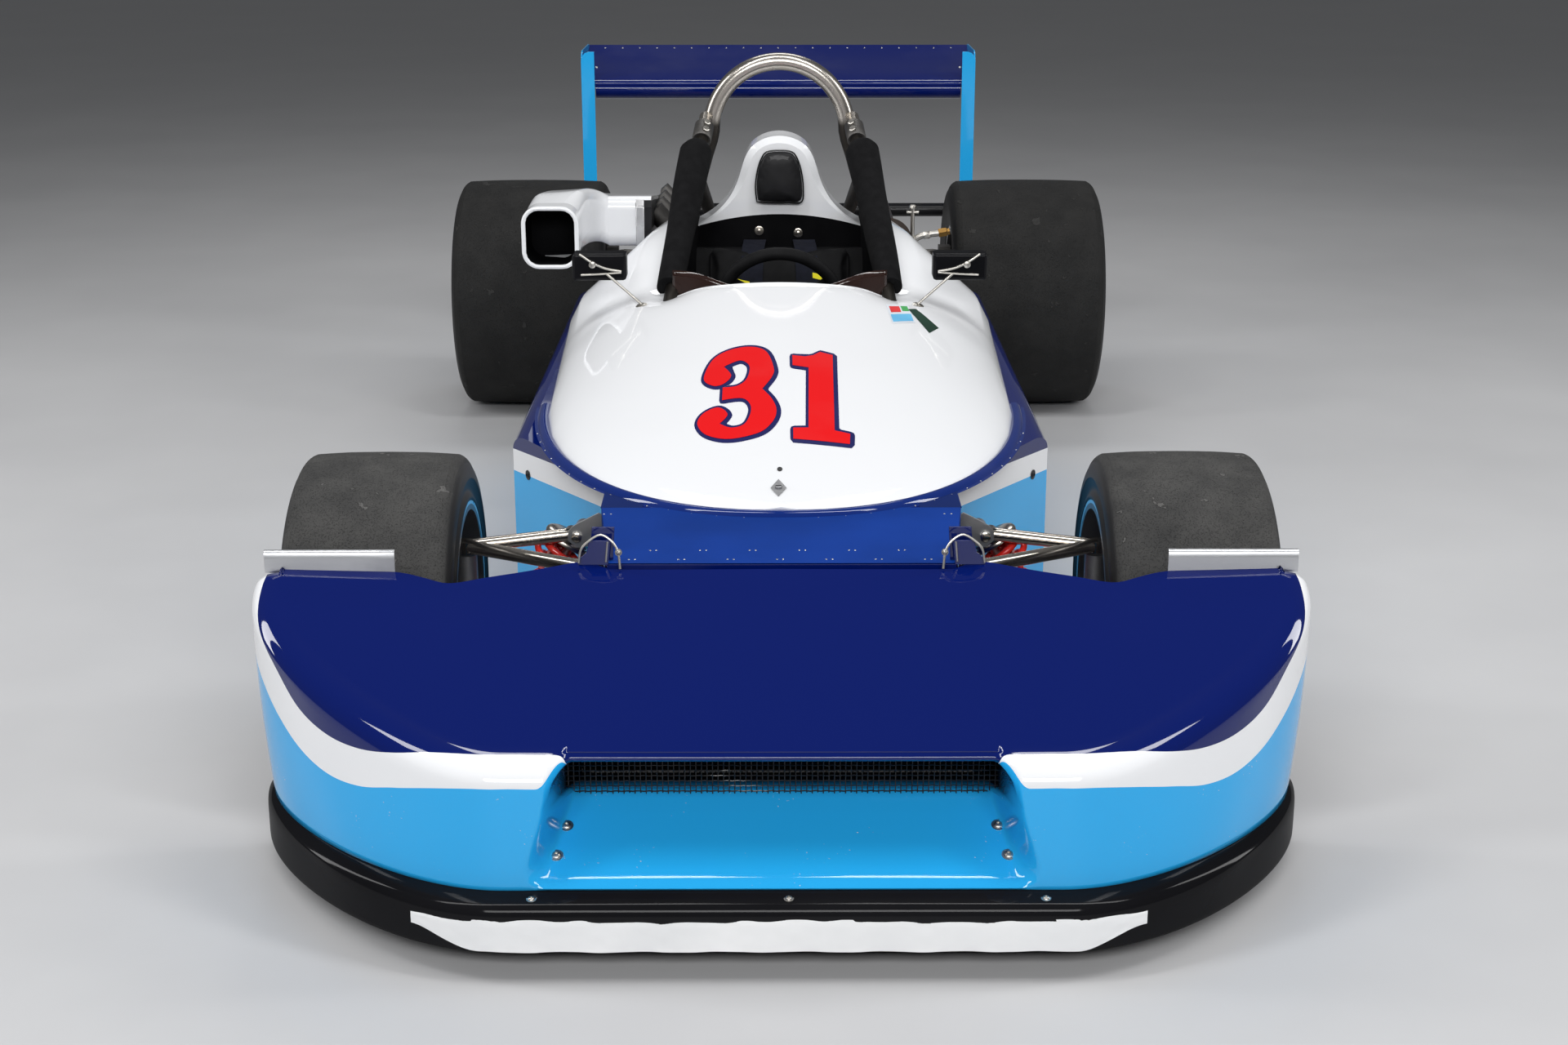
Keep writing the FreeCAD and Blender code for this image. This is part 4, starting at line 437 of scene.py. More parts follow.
flange_blue = paint("flange blue", (0.0045, 0.022, 0.165))
spring_red = paint("spring red", (0.62, 0.02, 0.012), rough=0.35)
red_film = paint("red film", RED, rough=0.30)
navy_film = paint("navy film", (0.010, 0.012, 0.10), rough=0.30)

nickel = metal("nickel plate", (0.66, 0.61, 0.54), rough=0.14, grain=60, uneven=0.14, depth=0.03)
bright = metal("bright aluminium", (0.80, 0.80, 0.81), rough=0.20, grain=50)
sheet_metal = metal("aluminium sheet", (0.60, 0.61, 0.63), rough=0.30, grain=80)
cast = metal("cast alloy", (0.34, 0.34, 0.35), rough=0.42, grain=14, uneven=0.16, depth=0.35)
cast_dark = metal("cast magnesium", (0.13, 0.125, 0.12), rough=0.45, grain=14, uneven=0.16, depth=0.35)
steel = metal("zinc plated steel", (0.52, 0.50, 0.46), rough=0.28, grain=25)
pipe = metal("heated pipe steel", (0.11, 0.09, 0.08), rough=0.48, grain=90, uneven=0.2)
sooty_steel = metal("oiled steel", (0.12, 0.115, 0.11), rough=0.42, grain=30)
disc_iron = metal("brake iron", (0.30, 0.29, 0.28), rough=0.30, grain=20)
damper_silver = metal("damper silver", (0.62, 0.62, 0.64), rough=0.24, grain=30)
brass = metal("dull brass", (0.30, 0.17, 0.05), rough=0.34)

wire = plain("black wire", (0.010, 0.010, 0.011), rough=0.42, grain=3, depth=0.02, coat=0.3)
foam = plain("black foam", (0.0040, 0.0040, 0.0045), rough=0.92, grain=1.6, depth=0.45, uneven=0.05, shine=0.12)
vinyl = plain("black vinyl", (0.007, 0.007, 0.008), rough=0.40, grain=2.2, coat=0.1)
soft_black = plain("matt vinyl", (0.0045, 0.0045, 0.005), rough=0.55, grain=2.2, shine=0.10)
black_gloss = plain("black gloss", SOOT, rough=0.2, grain=40, depth=0.01, coat=0.22, uneven=0.05, shine=0.0)
satin_black = plain("satin black", (0.007, 0.007, 0.008), rough=0.36, grain=5, depth=0.02, coat=0.15)
# Black of the dashboard and bulkhead, also used for near-black sheets of painted shade in the cockpit and the
# airbox mouth.
black_and_painted_shade = plain("cockpit black and painted shade", (0.0025, 0.0025, 0.003), rough=0.8, grain=8, uneven=0.05, shine=0.03)
smoked_edge = plain("smoked screen edge", (0.006, 0.003, 0.0025), rough=0.6, depth=0.02, uneven=0.05, shine=0.0)
sheet_blue = plain("riveted sheet blue", (0.0010, 0.026, 0.185), rough=0.6, grain=20, depth=0.04, uneven=0.05,
                   shine=0.06)
dusty_blue = plain("dusty blue", (0.004, 0.014, 0.085), rough=0.6, grain=20, depth=0.04, uneven=0.05, shine=0.05)
webbing = plain("webbing", (0.005, 0.006, 0.012), rough=0.8, grain=1.2, depth=0.3)
yellow_label = plain("yellow label", (0.75, 0.62, 0.01), rough=0.45, grain=12, depth=0.03)
white_tape = plain("white tape", (0.80, 0.81, 0.82), rough=0.42, grain=14, depth=0.25, coat=0.15)
green_tape = plain("dark green tape", (0.006, 0.030, 0.018), rough=0.4, grain=8, depth=0.05)
print("finishes:", len(bpy.data.materials))

# %% [markdown]
# Slick tyres that have been driven are not black. The tread is grey and scuffed, with crumbs of
# rubber from the track pressed on it, and the sidewall keeps a darker, smoother skin.
# How far a point is from the axle tells the shader which of the two it is on.


# %% Rubber
def rubber(name, axle, radius, shoulder, tread_wear_and_shade):
    """Scuffed tread and smooth sidewall, which meet at the shoulder's depth below the crown."""
    f = Finish(name)
    tread = f.from_axle(axle, radius).above((radius - shoulder) * MM, 0.004)
    crumbs = f.noise(34, 3, 0.6).above(0.665, 0.012) * tread
    grain = f.noise(2.6, 3, 0.6).above(0.60, 0.05) * tread
    pits = f.noise(5, 4, 0.7)
    scuff = f.noise(70, 5, 0.65).above(0.5, 0.3)
    dark, pale, crumb = (tuple(c * tread_wear_and_shade for c in colour) for colour in
                         ((0.030, 0.030, 0.030), (0.058, 0.057, 0.055), (0.105, 0.103, 0.10)))
    skin = f.mix(scuff * 0.5, (0.007, 0.007, 0.0075), (0.018, 0.018, 0.018))
    ink = f.mix(crumbs * 0.8, f.mix(tread, skin, f.mix(scuff, dark, pale)), crumb)
    return f.done(Base_Color=ink, Roughness=tread * 0.26 + crumbs * 0.05 + 0.50, Specular_IOR_Level=0.25,
                  Normal=f.bump(crumbs + pits * 0.25 * tread + grain * 0.3, 2.6))


WHEELBASE = 2420
FRONT_RADIUS, REAR_RADIUS = 252, 296
front_rubber = rubber("front tyre rubber", 0, FRONT_RADIUS, shoulder=16, tread_wear_and_shade=1.15)
# The rear tread is coloured much darker than the front: partly a smoother, less worn tread, partly painted shade.
rear_rubber = rubber("rear tyre rubber", WHEELBASE, REAR_RADIUS, shoulder=20, tread_wear_and_shade=0.32)

# %% [markdown]
# A cast wheel is painted or left dull inside and machined bright on its outer lip. The roll hoop is
# plated above the pads and almost black below them. Both change with place only.

# %% Rims and hoop
RIM_LIP, DARK_BELOW = 168, 852


def rim_finish(name, axle, radius):
    f = Finish(name)
    bare = f.from_axle(axle, radius).above(RIM_LIP * MM, 0.001)
    return f.done(Base_Color=f.mix(bare, (0.20, 0.20, 0.205), (0.78, 0.78, 0.79)), Metallic=1.0,
                  Roughness=f.noise(30, 4) * 0.14 - bare * 0.16 + 0.38, Normal=f.bump(f.noise(10, 3), 0.12))


def hoop_finish():
    f = Finish("plated hoop")
    # Below the pads' height the tube turns almost black and rougher.
    plated_top = f.axes()[2].above(DARK_BELOW * MM, 0.012)
    return f.done(Base_Color=f.mix(plated_top, (0.05, 0.045, 0.04), (0.50, 0.465, 0.42)), Metallic=1.0,
                  Roughness=f.noise(60, 4) * 0.14 - plated_top * 0.18 + 0.38, Normal=f.bump(f.noise(6, 3), 0.008))


front_rim = rim_finish("front rim alloy", 0, FRONT_RADIUS)
rear_rim = rim_finish("rear rim alloy", WHEELBASE, REAR_RADIUS)
plated_hoop = hoop_finish()

# %% [markdown]
# The screen is a brown smoked sheet that the cockpit's dark shows through. A plain share of
# see-through does that with no bent light, so it stays quick and clean.

# %% Smoked screen
smoked_screen = Finish("smoked screen").done(Base_Color=(0.028, 0.012, 0.009), Roughness=0.08, Alpha=0.82,
                                             Coat_Weight=0.6)

# %% [markdown]
# ## The carried solids
# Most of the car is already right as it comes from the frame. Each solid that stays gets its
# finish and, where a real edge is broken or rolled, a fine bevel that catches the light.

# %% Finishes of the carried solids
FINISHES = {
    "tub": navy_paint, "headrest_fairing": white_paint, "radiators": sheet_metal, "dashboard": black_and_painted_shade,
    "steering_wheel": soft_black, "seat": soft_black, "steering_rack": steel, "rear_calipers": cast,
    "front_wishbones": nickel, "dampers": damper_silver, "springs": spring_red, "rear_uprights": cast_dark,
    "rear_links": sooty_steel, "engine_block": cast, "cam_covers": cast_dark, "inlet_trumpets": cast_dark,
    "exhaust": pipe, "gearbox": cast_dark, "rear_wing": navy_paint, "wing_endplates": sky_paint,
    "wing_beam": satin_black, "jack_bar": steel, "tow_eye": steel,
}
BEVELS = {
    "tub": 3, "dashboard": 4, "engine_block": 8, "cam_covers": 8, "gearbox": 6, "rear_wing": 1, "radiators": 3,
    "rear_calipers": 5, "front_caliper_left": 5, "front_caliper_right": 5, "jack_bar": 1,
}
for side in ("left", "right"):
    FINISHES.update({f"front_upright_{side}": cast, f"front_caliper_{side}": cast,
                     f"front_rim_{side}": front_rim, f"rear_rim_{side}": rear_rim,
                     f"front_hub_{side}": disc_iron, f"rear_hub_{side}": disc_iron})
for name, finish in FINISHES.items():
    dress(nodes[name], finish, CRISP, BEVELS.get(name, 0))
soften(nodes["dashboard"], 2)
print("dressed:", len(FINISHES))

# %% [markdown]
# ## The nose
# One glass fibre moulding with a flat sloped top, rolled shoulders and an upright front that
# sweeps back at both corners. It is laid out in columns: each starts at the bottom edge, climbs
# the wall, rolls over the shoulder and runs back along the top. Towards the middle the wall
# gives way to the air scoop, so the two profiles are blended across its corner.

# %% Nose sizes
FRONT, BOTTOM, BROW = -725.0, 110.0, 283.0
WIDEST, TAIL, TAIL_TOP, TAIL_Y = 748.0, -343.0, 430.0, -320.0
STRAIGHT, ROLL, ROLL_DROP, LEAN = 370.0, 60.0, 34.0, 8.0
TIGHT_ROLL, TIGHT_DROP = 27.0, 24.0
BROW_Y = FRONT + ROLL
TOP_SLOPE = (TAIL_TOP - BROW) / (TAIL_Y - BROW_Y)
SCOOP_IN, SCOOP_OUT, SCOOP_LEAN = 309.0, 345.0, 30.0
SILL_Y, SILL, ROOF, LIP = -575.0, 186.0, 284.0, 268.0
DARK_BACK = -505.0
SKIN = 4.0


def nose_plan(u):
    """The bottom edge seen from above: straight to u = 1, then swept back to u = 2."""
    if u <= 1:
        return np.array([STRAIGHT * u, FRONT])
    t = u - 1
    ends = np.array([(STRAIGHT, FRONT), (525.0, FRONT), (WIDEST + 6, -488.0), (WIDEST, TAIL)])
    shares = np.array([(1 - t) ** 3, 3 * (1 - t) ** 2 * t, 3 * (1 - t) * t * t, t ** 3])
    return shares @ ends


def inward(u):
    """The level direction from the edge into the nose."""
    run = nose_plan(min(2, u + 1e-3)) - nose_plan(u - 1e-3)
    run /= np.linalg.norm(run)
    return np.array([-run[1], run[0]])


def top_height(x, y):
    """The top plane, with a soft valley on each side that deepens to the rear edge."""
    valley = -5.0 * np.exp(-((abs(x) - 482.0) / 46.0) ** 2) * ease(y, -500, -340)
    return BROW + (y - BROW_Y) * TOP_SLOPE + 8.0 * (abs(x) / WIDEST) ** 3 + valley


REAR_PLAN = bend([(0, -329), (130, -330), (246, -330), (262, -324), (280, -314), (300, -316), (340, -327),
                  (394, -340), (450, -350), (484, -353), (515, -346), (560, -338), (640, -335), (750, -336)], 6)


def rear_edge(x):
    """How far back the top reaches: straight in the middle, cut away at the valleys."""
    return float(np.interp(abs(x), REAR_PLAN[:, 0], REAR_PLAN[:, 1]))


# %% [markdown]
# The white stripe is a film laid along the shoulder. Its edges are drawn by their distance over
# the skin below the crown line, at a few stations round the nose, with a smooth curve through
# them. The shader then only asks how far above each edge a point is.

# %% Stripe edges
STATIONS = (0.9, 1.0, 1.1, 1.2, 1.3, 1.4, 1.5, 1.6, 1.7, 1.8, 1.9, 2.0)
STRIPE_TOP = (-9, -9, -16, -33, -58, -80, -91, -86, -60, -45, -30, -22)
STRIPE_LOW = (-66, -66, -70, -84, -107, -134, -149, -148, -133, -115, -105, -105)


def edge_below(edge, u):
    """How far below the crown a stripe edge runs at one station."""
    fine = bend(np.column_stack([STATIONS, edge]), 12)
    return np.interp(u, fine[:, 0], fine[:, 1])


# %% Nose columns
ROUND = np.linspace(0, 1, 13)
WALL = np.linspace(0, 1, 22)
RAMP_END, DUCT_END = 16, 20


def wall_column(u):
    """A plain column: bottom edge, wall and shoulder."""
    foot, side = nose_plan(u), inward(u)
    back = ease(u, 1.3, 1.9)
    roll = ROLL + (TIGHT_ROLL - ROLL) * back
    crown = foot + side * roll
    peak = top_height(crown[0], crown[1])
    shoulder = peak - ROLL_DROP - (TIGHT_DROP - ROLL_DROP) * back
    head = LEAN * (1 - back) - 13.0 * back
    points = []
    for v in WALL[:-1]:
        bow = head * v - 16.0 * v * (1 - v) * back
        points.append((*(foot + side * bow), BOTTOM + (shoulder - BOTTOM) * v))
    for t in ROUND:
        into = (1 - t) ** 2 * head + 2 * (1 - t) * t * (head + 3.0) + t * t * roll
        rise = (1 - t) ** 2 * shoulder + 2 * (1 - t) * t * (peak - 2.0) + t * t * peak
        points.append((*(foot + side * into), rise))
    return np.array(points)


def scoop_column(x):
    """A column through the air scoop: lip, ramp, duct behind the mesh (painted near black as painted shade), roof
    and hood lip.
    """
    rows = [(FRONT + 1, BOTTOM), (FRONT - 1, BOTTOM + 4), (FRONT + 3, BOTTOM + 9)]
    ramp = np.linspace(0, 1, RAMP_END - 2)[1:]
    rows += [(FRONT + 3 + (SILL_Y - FRONT - 3) * t, BOTTOM + 9 + (SILL - BOTTOM - 9) * t) for t in ramp]
    rows += [(DARK_BACK, SILL - 4), (DARK_BACK, ROOF - 2), (SILL_Y, ROOF - 2)]
    rows += [(SILL_Y - 20, ROOF - 4), (BROW_Y + 34, LIP + 6), (BROW_Y + 10, LIP)]
    peak = top_height(x, BROW_Y)
    for t in np.linspace(0, 1, len(WALL) - 1 + len(ROUND) - len(rows)):
        rows.append((BROW_Y + 2 - 9 * math.sin(t * math.pi) * (1 - t * 0.3), LIP + (peak - LIP) * t))
    rows[-1] = (BROW_Y, peak)
    return np.array([(x, y, z) for y, z in rows])


def nose_columns():
    """Every column from the middle to the tail, with the marks that the paint reads."""
    inner = np.linspace(0, SCOOP_IN - SCOOP_LEAN, 20)
    corner = np.linspace(SCOOP_IN - SCOOP_LEAN + 2, SCOOP_OUT + 3, 34)
    across = np.concatenate([inner, corner, [358.0, STRAIGHT]]) / STRAIGHT
    stations = np.concatenate([across, 1 + np.linspace(0.02, 1, 64)])
    columns, navy, white, dark = [], [], [], []
    order = np.arange(len(WALL) - 1 + len(ROUND))
    climb = ease(order, 0, DUCT_END) * SCOOP_LEAN
    hood = np.where(order >= DUCT_END - 1, 5.0, -5.0)
    for u in stations:
        wall = wall_column(u)
        x = STRAIGHT * u
        blend = ease(x, SCOOP_IN - climb, SCOOP_OUT - climb)
        points = wall * blend[:, None] + scoop_column(min(x, SCOOP_OUT)) * (1 - blend)[:, None]
        skin = np.concatenate([[0], np.cumsum(np.linalg.norm(np.diff(wall, axis=0), axis=1))])
        below = skin - skin[-1]
        high = edge_below(STRIPE_TOP, u)
        taper = float(ease(x, SCOOP_IN - SCOOP_LEAN, SCOOP_OUT - SCOOP_LEAN + 8)) ** 0.7
        low = high + (edge_below(STRIPE_LOW, u) - high) * taper
        above_low = (below - low) * blend + hood * (1 - blend)
        above_high = (below - high) * blend + hood * (1 - blend)
        # The duct's rows behind the mesh are marked for painted shade, near black.
        duct = np.where((order >= RAMP_END) & (order < DUCT_END - 2), 1 - blend, 0)
        start, edge = points[-1], rear_edge(points[-1][0])
        back = [(start[0], y, top_height(start[0], y)) for y in np.linspace(start[1], edge, 34)[1:]]
        lipped = np.array(back[-1]) + ((0, 4, -1.5), (0, 5, -8), (0, 2, -14))
        columns.append(np.vstack([points, back, lipped]))
        rest = len(back) + len(lipped)
        white.append(np.append(above_low, [9.0] * rest))
        navy.append(np.append(above_high, [9.0] * rest))
        dark.append(np.append(duct, [0.0] * rest))
    return np.array(columns), np.ravel(white), np.ravel(navy), np.ravel(dark)


def nose_paint():
    """Navy over white over sky blue, chipped to the white primer low on the front, with painted shade in near
    black on the duct behind the mesh.
    """
    f = Finish("nose paint")
    white = f.mark("white").above(0)
    chips = f.noise(3.4, 2, 0.5).above(0.72, 0.01) * f.noise(60, 2).above(0.60, 0.02) * (1 - white)
    lower = f.mix(white, SKY, WHITE)
    coat = f.mix(f.mark("navy").above(0), lower, NAVY)
    marked = f.mix(chips, coat, (0.60, 0.61, 0.62))
    # Painted shade: the duct behind the mesh is coloured near black.
    duct_shaded = f.mix(f.mark("dark").above(0.4, 0.3), marked, (0.004, 0.004, 0.005))
    return f.done(Base_Color=duct_shaded, Roughness=0.32, Normal=f.bump(f.peel(11, 2.4), 0.03), **CLEAR)


columns, white_marks, navy_marks, duct_shade_marks = nose_columns()
nose = Form().grid(columns, white=white_marks, navy=navy_marks, dark=duct_shade_marks).mirrored()
nose_piece = nose.make("nose_moulding", nose_paint(), stands_for=["nose_cone"], slot="blue_paint", smooth=40)
weld(nose_piece)
nose_piece.data.set_sharp_from_angle(angle=math.radians(40))
thicken(nose_piece, SKIN)
print("nose faces:", len(nose_piece.data.polygons))

# %% [markdown]
# The scoop is closed by woven black wire. Each wire goes over and under those that cross it,
# which is a wave along its length, so the weave is two families of wavy bars.

# %% Woven mesh
PITCH, WIRE, WAVE = 7.6, 0.85, 0.95
MESH_Y, MESH_HALF = -578.0, 316.0


def woven(low, high, half, y):
    """A weave between two heights, with round ends."""
    weave = Form()
    middle, half_high = (low + high) / 2, (high - low) / 2
    for i, z in enumerate(np.arange(low + PITCH / 2, high, PITCH)):
        reach = half - half_high + math.sqrt(max(0, half_high ** 2 - (z - middle) ** 2))
        run = np.arange(-reach, reach, PITCH / 2)
        lift = WAVE * np.cos(np.pi * (run / PITCH + i))
        weave.tube(np.column_stack([run, y + lift, np.full(len(run), z)]), WIRE, 5)
    for j, x in enumerate(np.arange(-half + PITCH, half, PITCH)):
        over = max(0, abs(x) - (half - half_high))
        reach = math.sqrt(max(1, half_high ** 2 - over ** 2))
        run = np.arange(middle - reach, middle + reach, PITCH / 2)
        lift = -WAVE * np.cos(np.pi * ((run - low) / PITCH + j))
        weave.tube(np.column_stack([np.full(len(run), x), y + lift, run]), WIRE, 5)
    return weave


mesh_piece = woven(SILL - 2, ROOF + 2, MESH_HALF, MESH_Y).make(
    "scoop_mesh", wire, stands_for=["nose_grille"], slot="wire_mesh")
print("mesh faces:", len(mesh_piece.data.polygons))

# %% [markdown]
# The nose is held by raised screws beside the scoop and by wire clips at its rear edge: a
# plated hoop sprung over a dark catch, which a mechanic can undo without tools. Behind each front
# tyre the rear edge carries a small folded lip of bare sheet.


# %% Fasteners
def screw(form, place, axis, size=7.0, tall=3.5):
    """A button head screw with its hex socket, on a thin washer."""
    head = [(0, size * 1.35), (0.8, size * 1.35), (0.8, size), (tall * 0.5, size * 0.94),
            (tall * 0.85, size * 0.7), (tall, size * 0.42), (tall * 0.45, size * 0.40), (tall * 0.45, 0.01)]
    form.turned(head, place, axis, 20)


def on_ramp(x, share):
    """A place on the scoop's ramp, by its share of the way in."""
    return (x, FRONT + 3 + (SILL_Y - FRONT - 3) * share, BOTTOM + 9 + (SILL - BOTTOM - 9) * share)


RAMP_UP = np.array([0, -(SILL - BOTTOM - 9), SILL_Y - FRONT - 3]) / 165.0
screws = Form()
for x, share in ((302, 0.30), (292, 0.62)):
    screw(screws, on_ramp(x, share), RAMP_UP)
screws.mirrored().make("scoop_screws", steel)

EAR_Y, EAR_THICK = -322.0, 3.0
EAR = [(296, 430), (295, 438), (283, 449), (279, 467), (248, 467), (252, 430)]
EAR_BEHIND = [(281, 432), (276, 482), (243, 482), (246, 432)]
CLIP_HOOP = [(294, -330, 436), (290, -330, 456), (279, -328, 468), (262, -326, 477), (246, -328, 468),
             (237, -330, 452), (234, -334, 428)]
GURNEY_INNER, GURNEY_OUTER = 559, 747
GURNEY_FOLD = [(-338, 424), (-338.5, 444), (-338, 453), (-335, 456.5), (-331, 457), (-331, 455.5), (-334, 455),
               (-336, 452), (-336, 424)]


def plate(form, outline, y, thick):
    """A flat plate that faces forward, from an outline of (x, z)."""
    rows = [[(x, y, z) for x, z in outline], [(x, y + thick, z) for x, z in outline]]
    return form.grid(rows, ring=True, shut=True)


ears, wires = Form(), Form()
plate(ears, EAR, EAR_Y, EAR_THICK)
plate(ears, EAR_BEHIND, EAR_Y + 18, EAR_THICK)
ears.mirrored().make("nose_ears", navy_paint, bevel=0.8)
wires.tube(bend(CLIP_HOOP, 6), 1.9, 10)
wires.tube([(252, EAR_Y - 3, 466), (255, EAR_Y - 3, 436)], 1.6, 8)
screw(wires, (236, EAR_Y - 8, 452), (0.3, -1, 0.2), 4.0, 3.0)
wires.mirrored().make("nose_clips", steel)
lips = Form().grid([[(x, y, z) for x in np.linspace(GURNEY_INNER, GURNEY_OUTER, 12)] for y, z in GURNEY_FOLD])
lips.mirrored().make("gurney_lips", sheet_metal, stands_for=["nose_gurneys"], slot="bare_aluminium", smooth=50)

# %% [markdown]
# ## The chin
# Below the nose runs a black gloss lip with a level shelf and a rounded front. It meets kerbs
# first, so it is wrapped in white tape, a little wrinkled, whose ends run out to a point. The
# lip is one section carried round the nose's own plan, so that both stay in step.

# %% Chin lip
LIP_REACH, LIP_REACH_BACK, LIP_LOW = 35.0, 11.0, 38.0
LIP_SECTION = [(-0.2, 111), (0.0, 111), (0.35, 107.5), (0.66, 103.5), (0.80, 101), (0.90, 97), (0.97, 91),
               (1.0, 83), (1.0, 62), (1.0, 46), (0.985, 41), (0.93, LIP_LOW), (0.3, LIP_LOW)]


def lip_place(u, share, height):
    """A point of the lip, by the share of its reach from the nose's foot."""
    reach = LIP_REACH + (LIP_REACH_BACK - LIP_REACH) * ease(u, 1.1, 1.9)
    x, y = nose_plan(u) - inward(u) * reach * share
    return (x, y, height)


rows = []
for u in np.concatenate([np.linspace(0, 1, 12), 1 + np.linspace(0.02, 1, 60)]):
    ring = [lip_place(u, share, height) for share, height in LIP_SECTION]
    foot = nose_plan(u)
    rows.append(ring + [(foot[0], TAIL_Y - 6, LIP_LOW), (foot[0], TAIL_Y - 6, LIP_LOW + 40)])
Form().grid(rows).mirrored().make("chin_lip", black_gloss, stands_for=["nose_splitter"], slot="black_gloss")
print("lip sections:", len(rows))

# %% Tape on the lip
TAPE_LEFT, TAPE_RIGHT = 492.0, 482.0
TAPE_TOP, TAPE_OFF, TAPE_RUN_OUT = 84.0, 0.9, 95.0
lip_edge = np.array([lip_place(u, 1.0, 0)[:2] for u in np.linspace(0, 1.6, 120)])
generator = np.random.default_rng(31)


def tape_row(x):
    """One strip down the tape: its top, its face and its torn lower edge."""
    y = np.interp(abs(x), lip_edge[:, 0], lip_edge[:, 1])
    end = min(x + TAPE_LEFT, TAPE_RIGHT - x)
    low = LIP_LOW + 1.5 + 26.0 * (1 - float(ease(end, 0, TAPE_RUN_OUT))) + 0.8 * math.sin(x * 0.06)
    top = TAPE_TOP + 1.2 * math.sin(x * 0.017 + 1) + 0.7 * math.sin(x * 0.09)
    crease = 0.55 * math.sin(x * 0.11) * math.sin(x * 0.037 + 1) + generator.normal(0, 0.06)
    heights = np.linspace(top, low, 9)
    return [(x, y - TAPE_OFF + 1.2 * (k == 0) + crease * math.sin(k * 1.3), z) for k, z in enumerate(heights)]


tape_rows = [tape_row(x) for x in np.linspace(-TAPE_LEFT, TAPE_RIGHT, 220)]
Form().grid(tape_rows).make("lip_tape", white_tape, smooth=60)
chin_screws = Form()
for x in (-330.0, 8.0, 346.0):
    screw(chin_screws, (x, FRONT - 0.42 * LIP_REACH, 106), (0, -0.2, 0.98), 5.0, 3.0)
chin_screws.make("chin_screws", steel)
print("tape rows:", len(tape_rows))

# %% [markdown]
# ## Cockpit surround
# The white surround is one moulding: a low dome in front, which opens round the driver and climbs
# at both sides to the headrest. Every section is an oval that stands on the tub. Beside the
# cockpit the oval gives way to a straighter flank that rises to the back, so the sections are
# blended, and the net between the opening's edge and the foot follows them.

# %% Surround sections
TUB_TOP, SURROUND_WALL = 430.0, 4.0
DOME_FRONT, DOME_WIDE, DOME_HALF, DOME_POWER = -72.0, 650.0, 430.0, 2.3
DOME_LATE, DOME_BACK, DOME_SPREAD, DOME_REAR_HALF, DOME_CURVE = 1210.0, 1515.0, 22.0, 334.0, 1.85
DOME_NOSE, DOME_LIP = 12.0, 170.0
MOUTH_FRONT, MOUTH_CORNER, MOUTH_HALF, COCKPIT_BACK = 959.0, 1003.0, 226.0, 1400.0
MOUTH_REAR_HALF, MOUTH_ROUND, MOUTH_DIP = 180.0, 34.0, 14.0
DIP_WIDE, DIP_LONG, FLANK_START, FLANK_END = 46.0, 62.0, 1000, 1340
FLANK_OUT = (0.0, 0.355, 0.632, 0.88, 0.965, 1.0)
FLANK_UP = (1.0, 0.813, 0.565, 0.35, 0.17, 0.0)
FLANK_TOP = 690.0


def dome_half(y):
    """Half the surround's width at one distance from the axle."""
    if y < DOME_WIDE:
        share = (DOME_WIDE - y) / (DOME_WIDE - DOME_FRONT)
        return DOME_HALF * max(0.0, 1 - share ** 2) ** (1 / DOME_POWER)
    if y < DOME_LATE:
        return DOME_HALF + DOME_SPREAD * (y - DOME_WIDE) / (DOME_LATE - DOME_WIDE)
    share = (y - DOME_LATE) / (DOME_BACK - DOME_LATE)
    return DOME_HALF + DOME_SPREAD + (DOME_REAR_HALF - DOME_HALF - DOME_SPREAD) * share ** 2


def opening_half(y):
    """Half the opening's width behind its corners."""
    return MOUTH_HALF + (MOUTH_REAR_HALF - MOUTH_HALF) * float(ease(y, MOUTH_CORNER, COCKPIT_BACK))


def cover_height(x, y):
    """The surround's outer skin above the ground."""
    half, away = dome_half(y), abs(x)
    climb = min(1.0, (y - DOME_FRONT) / (MOUTH_FRONT - DOME_FRONT))
    rise = DOME_NOSE + (DOME_LIP - DOME_NOSE) * climb
    oval = TUB_TOP + rise * max(0.0, 1 - min(1.0, away / half) ** DOME_CURVE) ** (1 / DOME_CURVE)
    dip = MOUTH_DIP * math.exp(-((away - MOUTH_HALF) / DIP_WIDE) ** 2 - ((y - MOUTH_CORNER) / DIP_LONG) ** 2)
    share = float(ease(y, FLANK_START, FLANK_END))
    if not share:
        return oval - dip
    edge = opening_half(y)
    out = max(0.0, min(1.0, (away - edge) / (half - edge)))
    flank = TUB_TOP + (FLANK_TOP - TUB_TOP) * float(np.interp(out, FLANK_OUT, FLANK_UP))
    return oval + (max(flank, oval) - oval) * share - dip


def mouth_front(x):
    """How far forward the opening reaches at one distance from the middle."""
    return MOUTH_FRONT + (MOUTH_CORNER - MOUTH_FRONT) * (abs(x) / MOUTH_HALF) ** 2


def mouth_path(steps=14):
    """The opening seen from above on the +x side, from the middle of its front to its back."""
    front = [(x, mouth_front(x)) for x in np.linspace(0, MOUTH_HALF - MOUTH_ROUND, steps)]
    corner = [(MOUTH_HALF - MOUTH_ROUND * 0.55, mouth_front(MOUTH_HALF - MOUTH_ROUND * 0.55) + 2.5),
              (MOUTH_HALF - MOUTH_ROUND * 0.2, MOUTH_CORNER + 4), (MOUTH_HALF - 1.5, MOUTH_CORNER + 17)]
    side = [(opening_half(y), y) for y in np.linspace(MOUTH_CORNER + 36, COCKPIT_BACK + 96, steps + 8)]
    return np.array(front + corner + side)


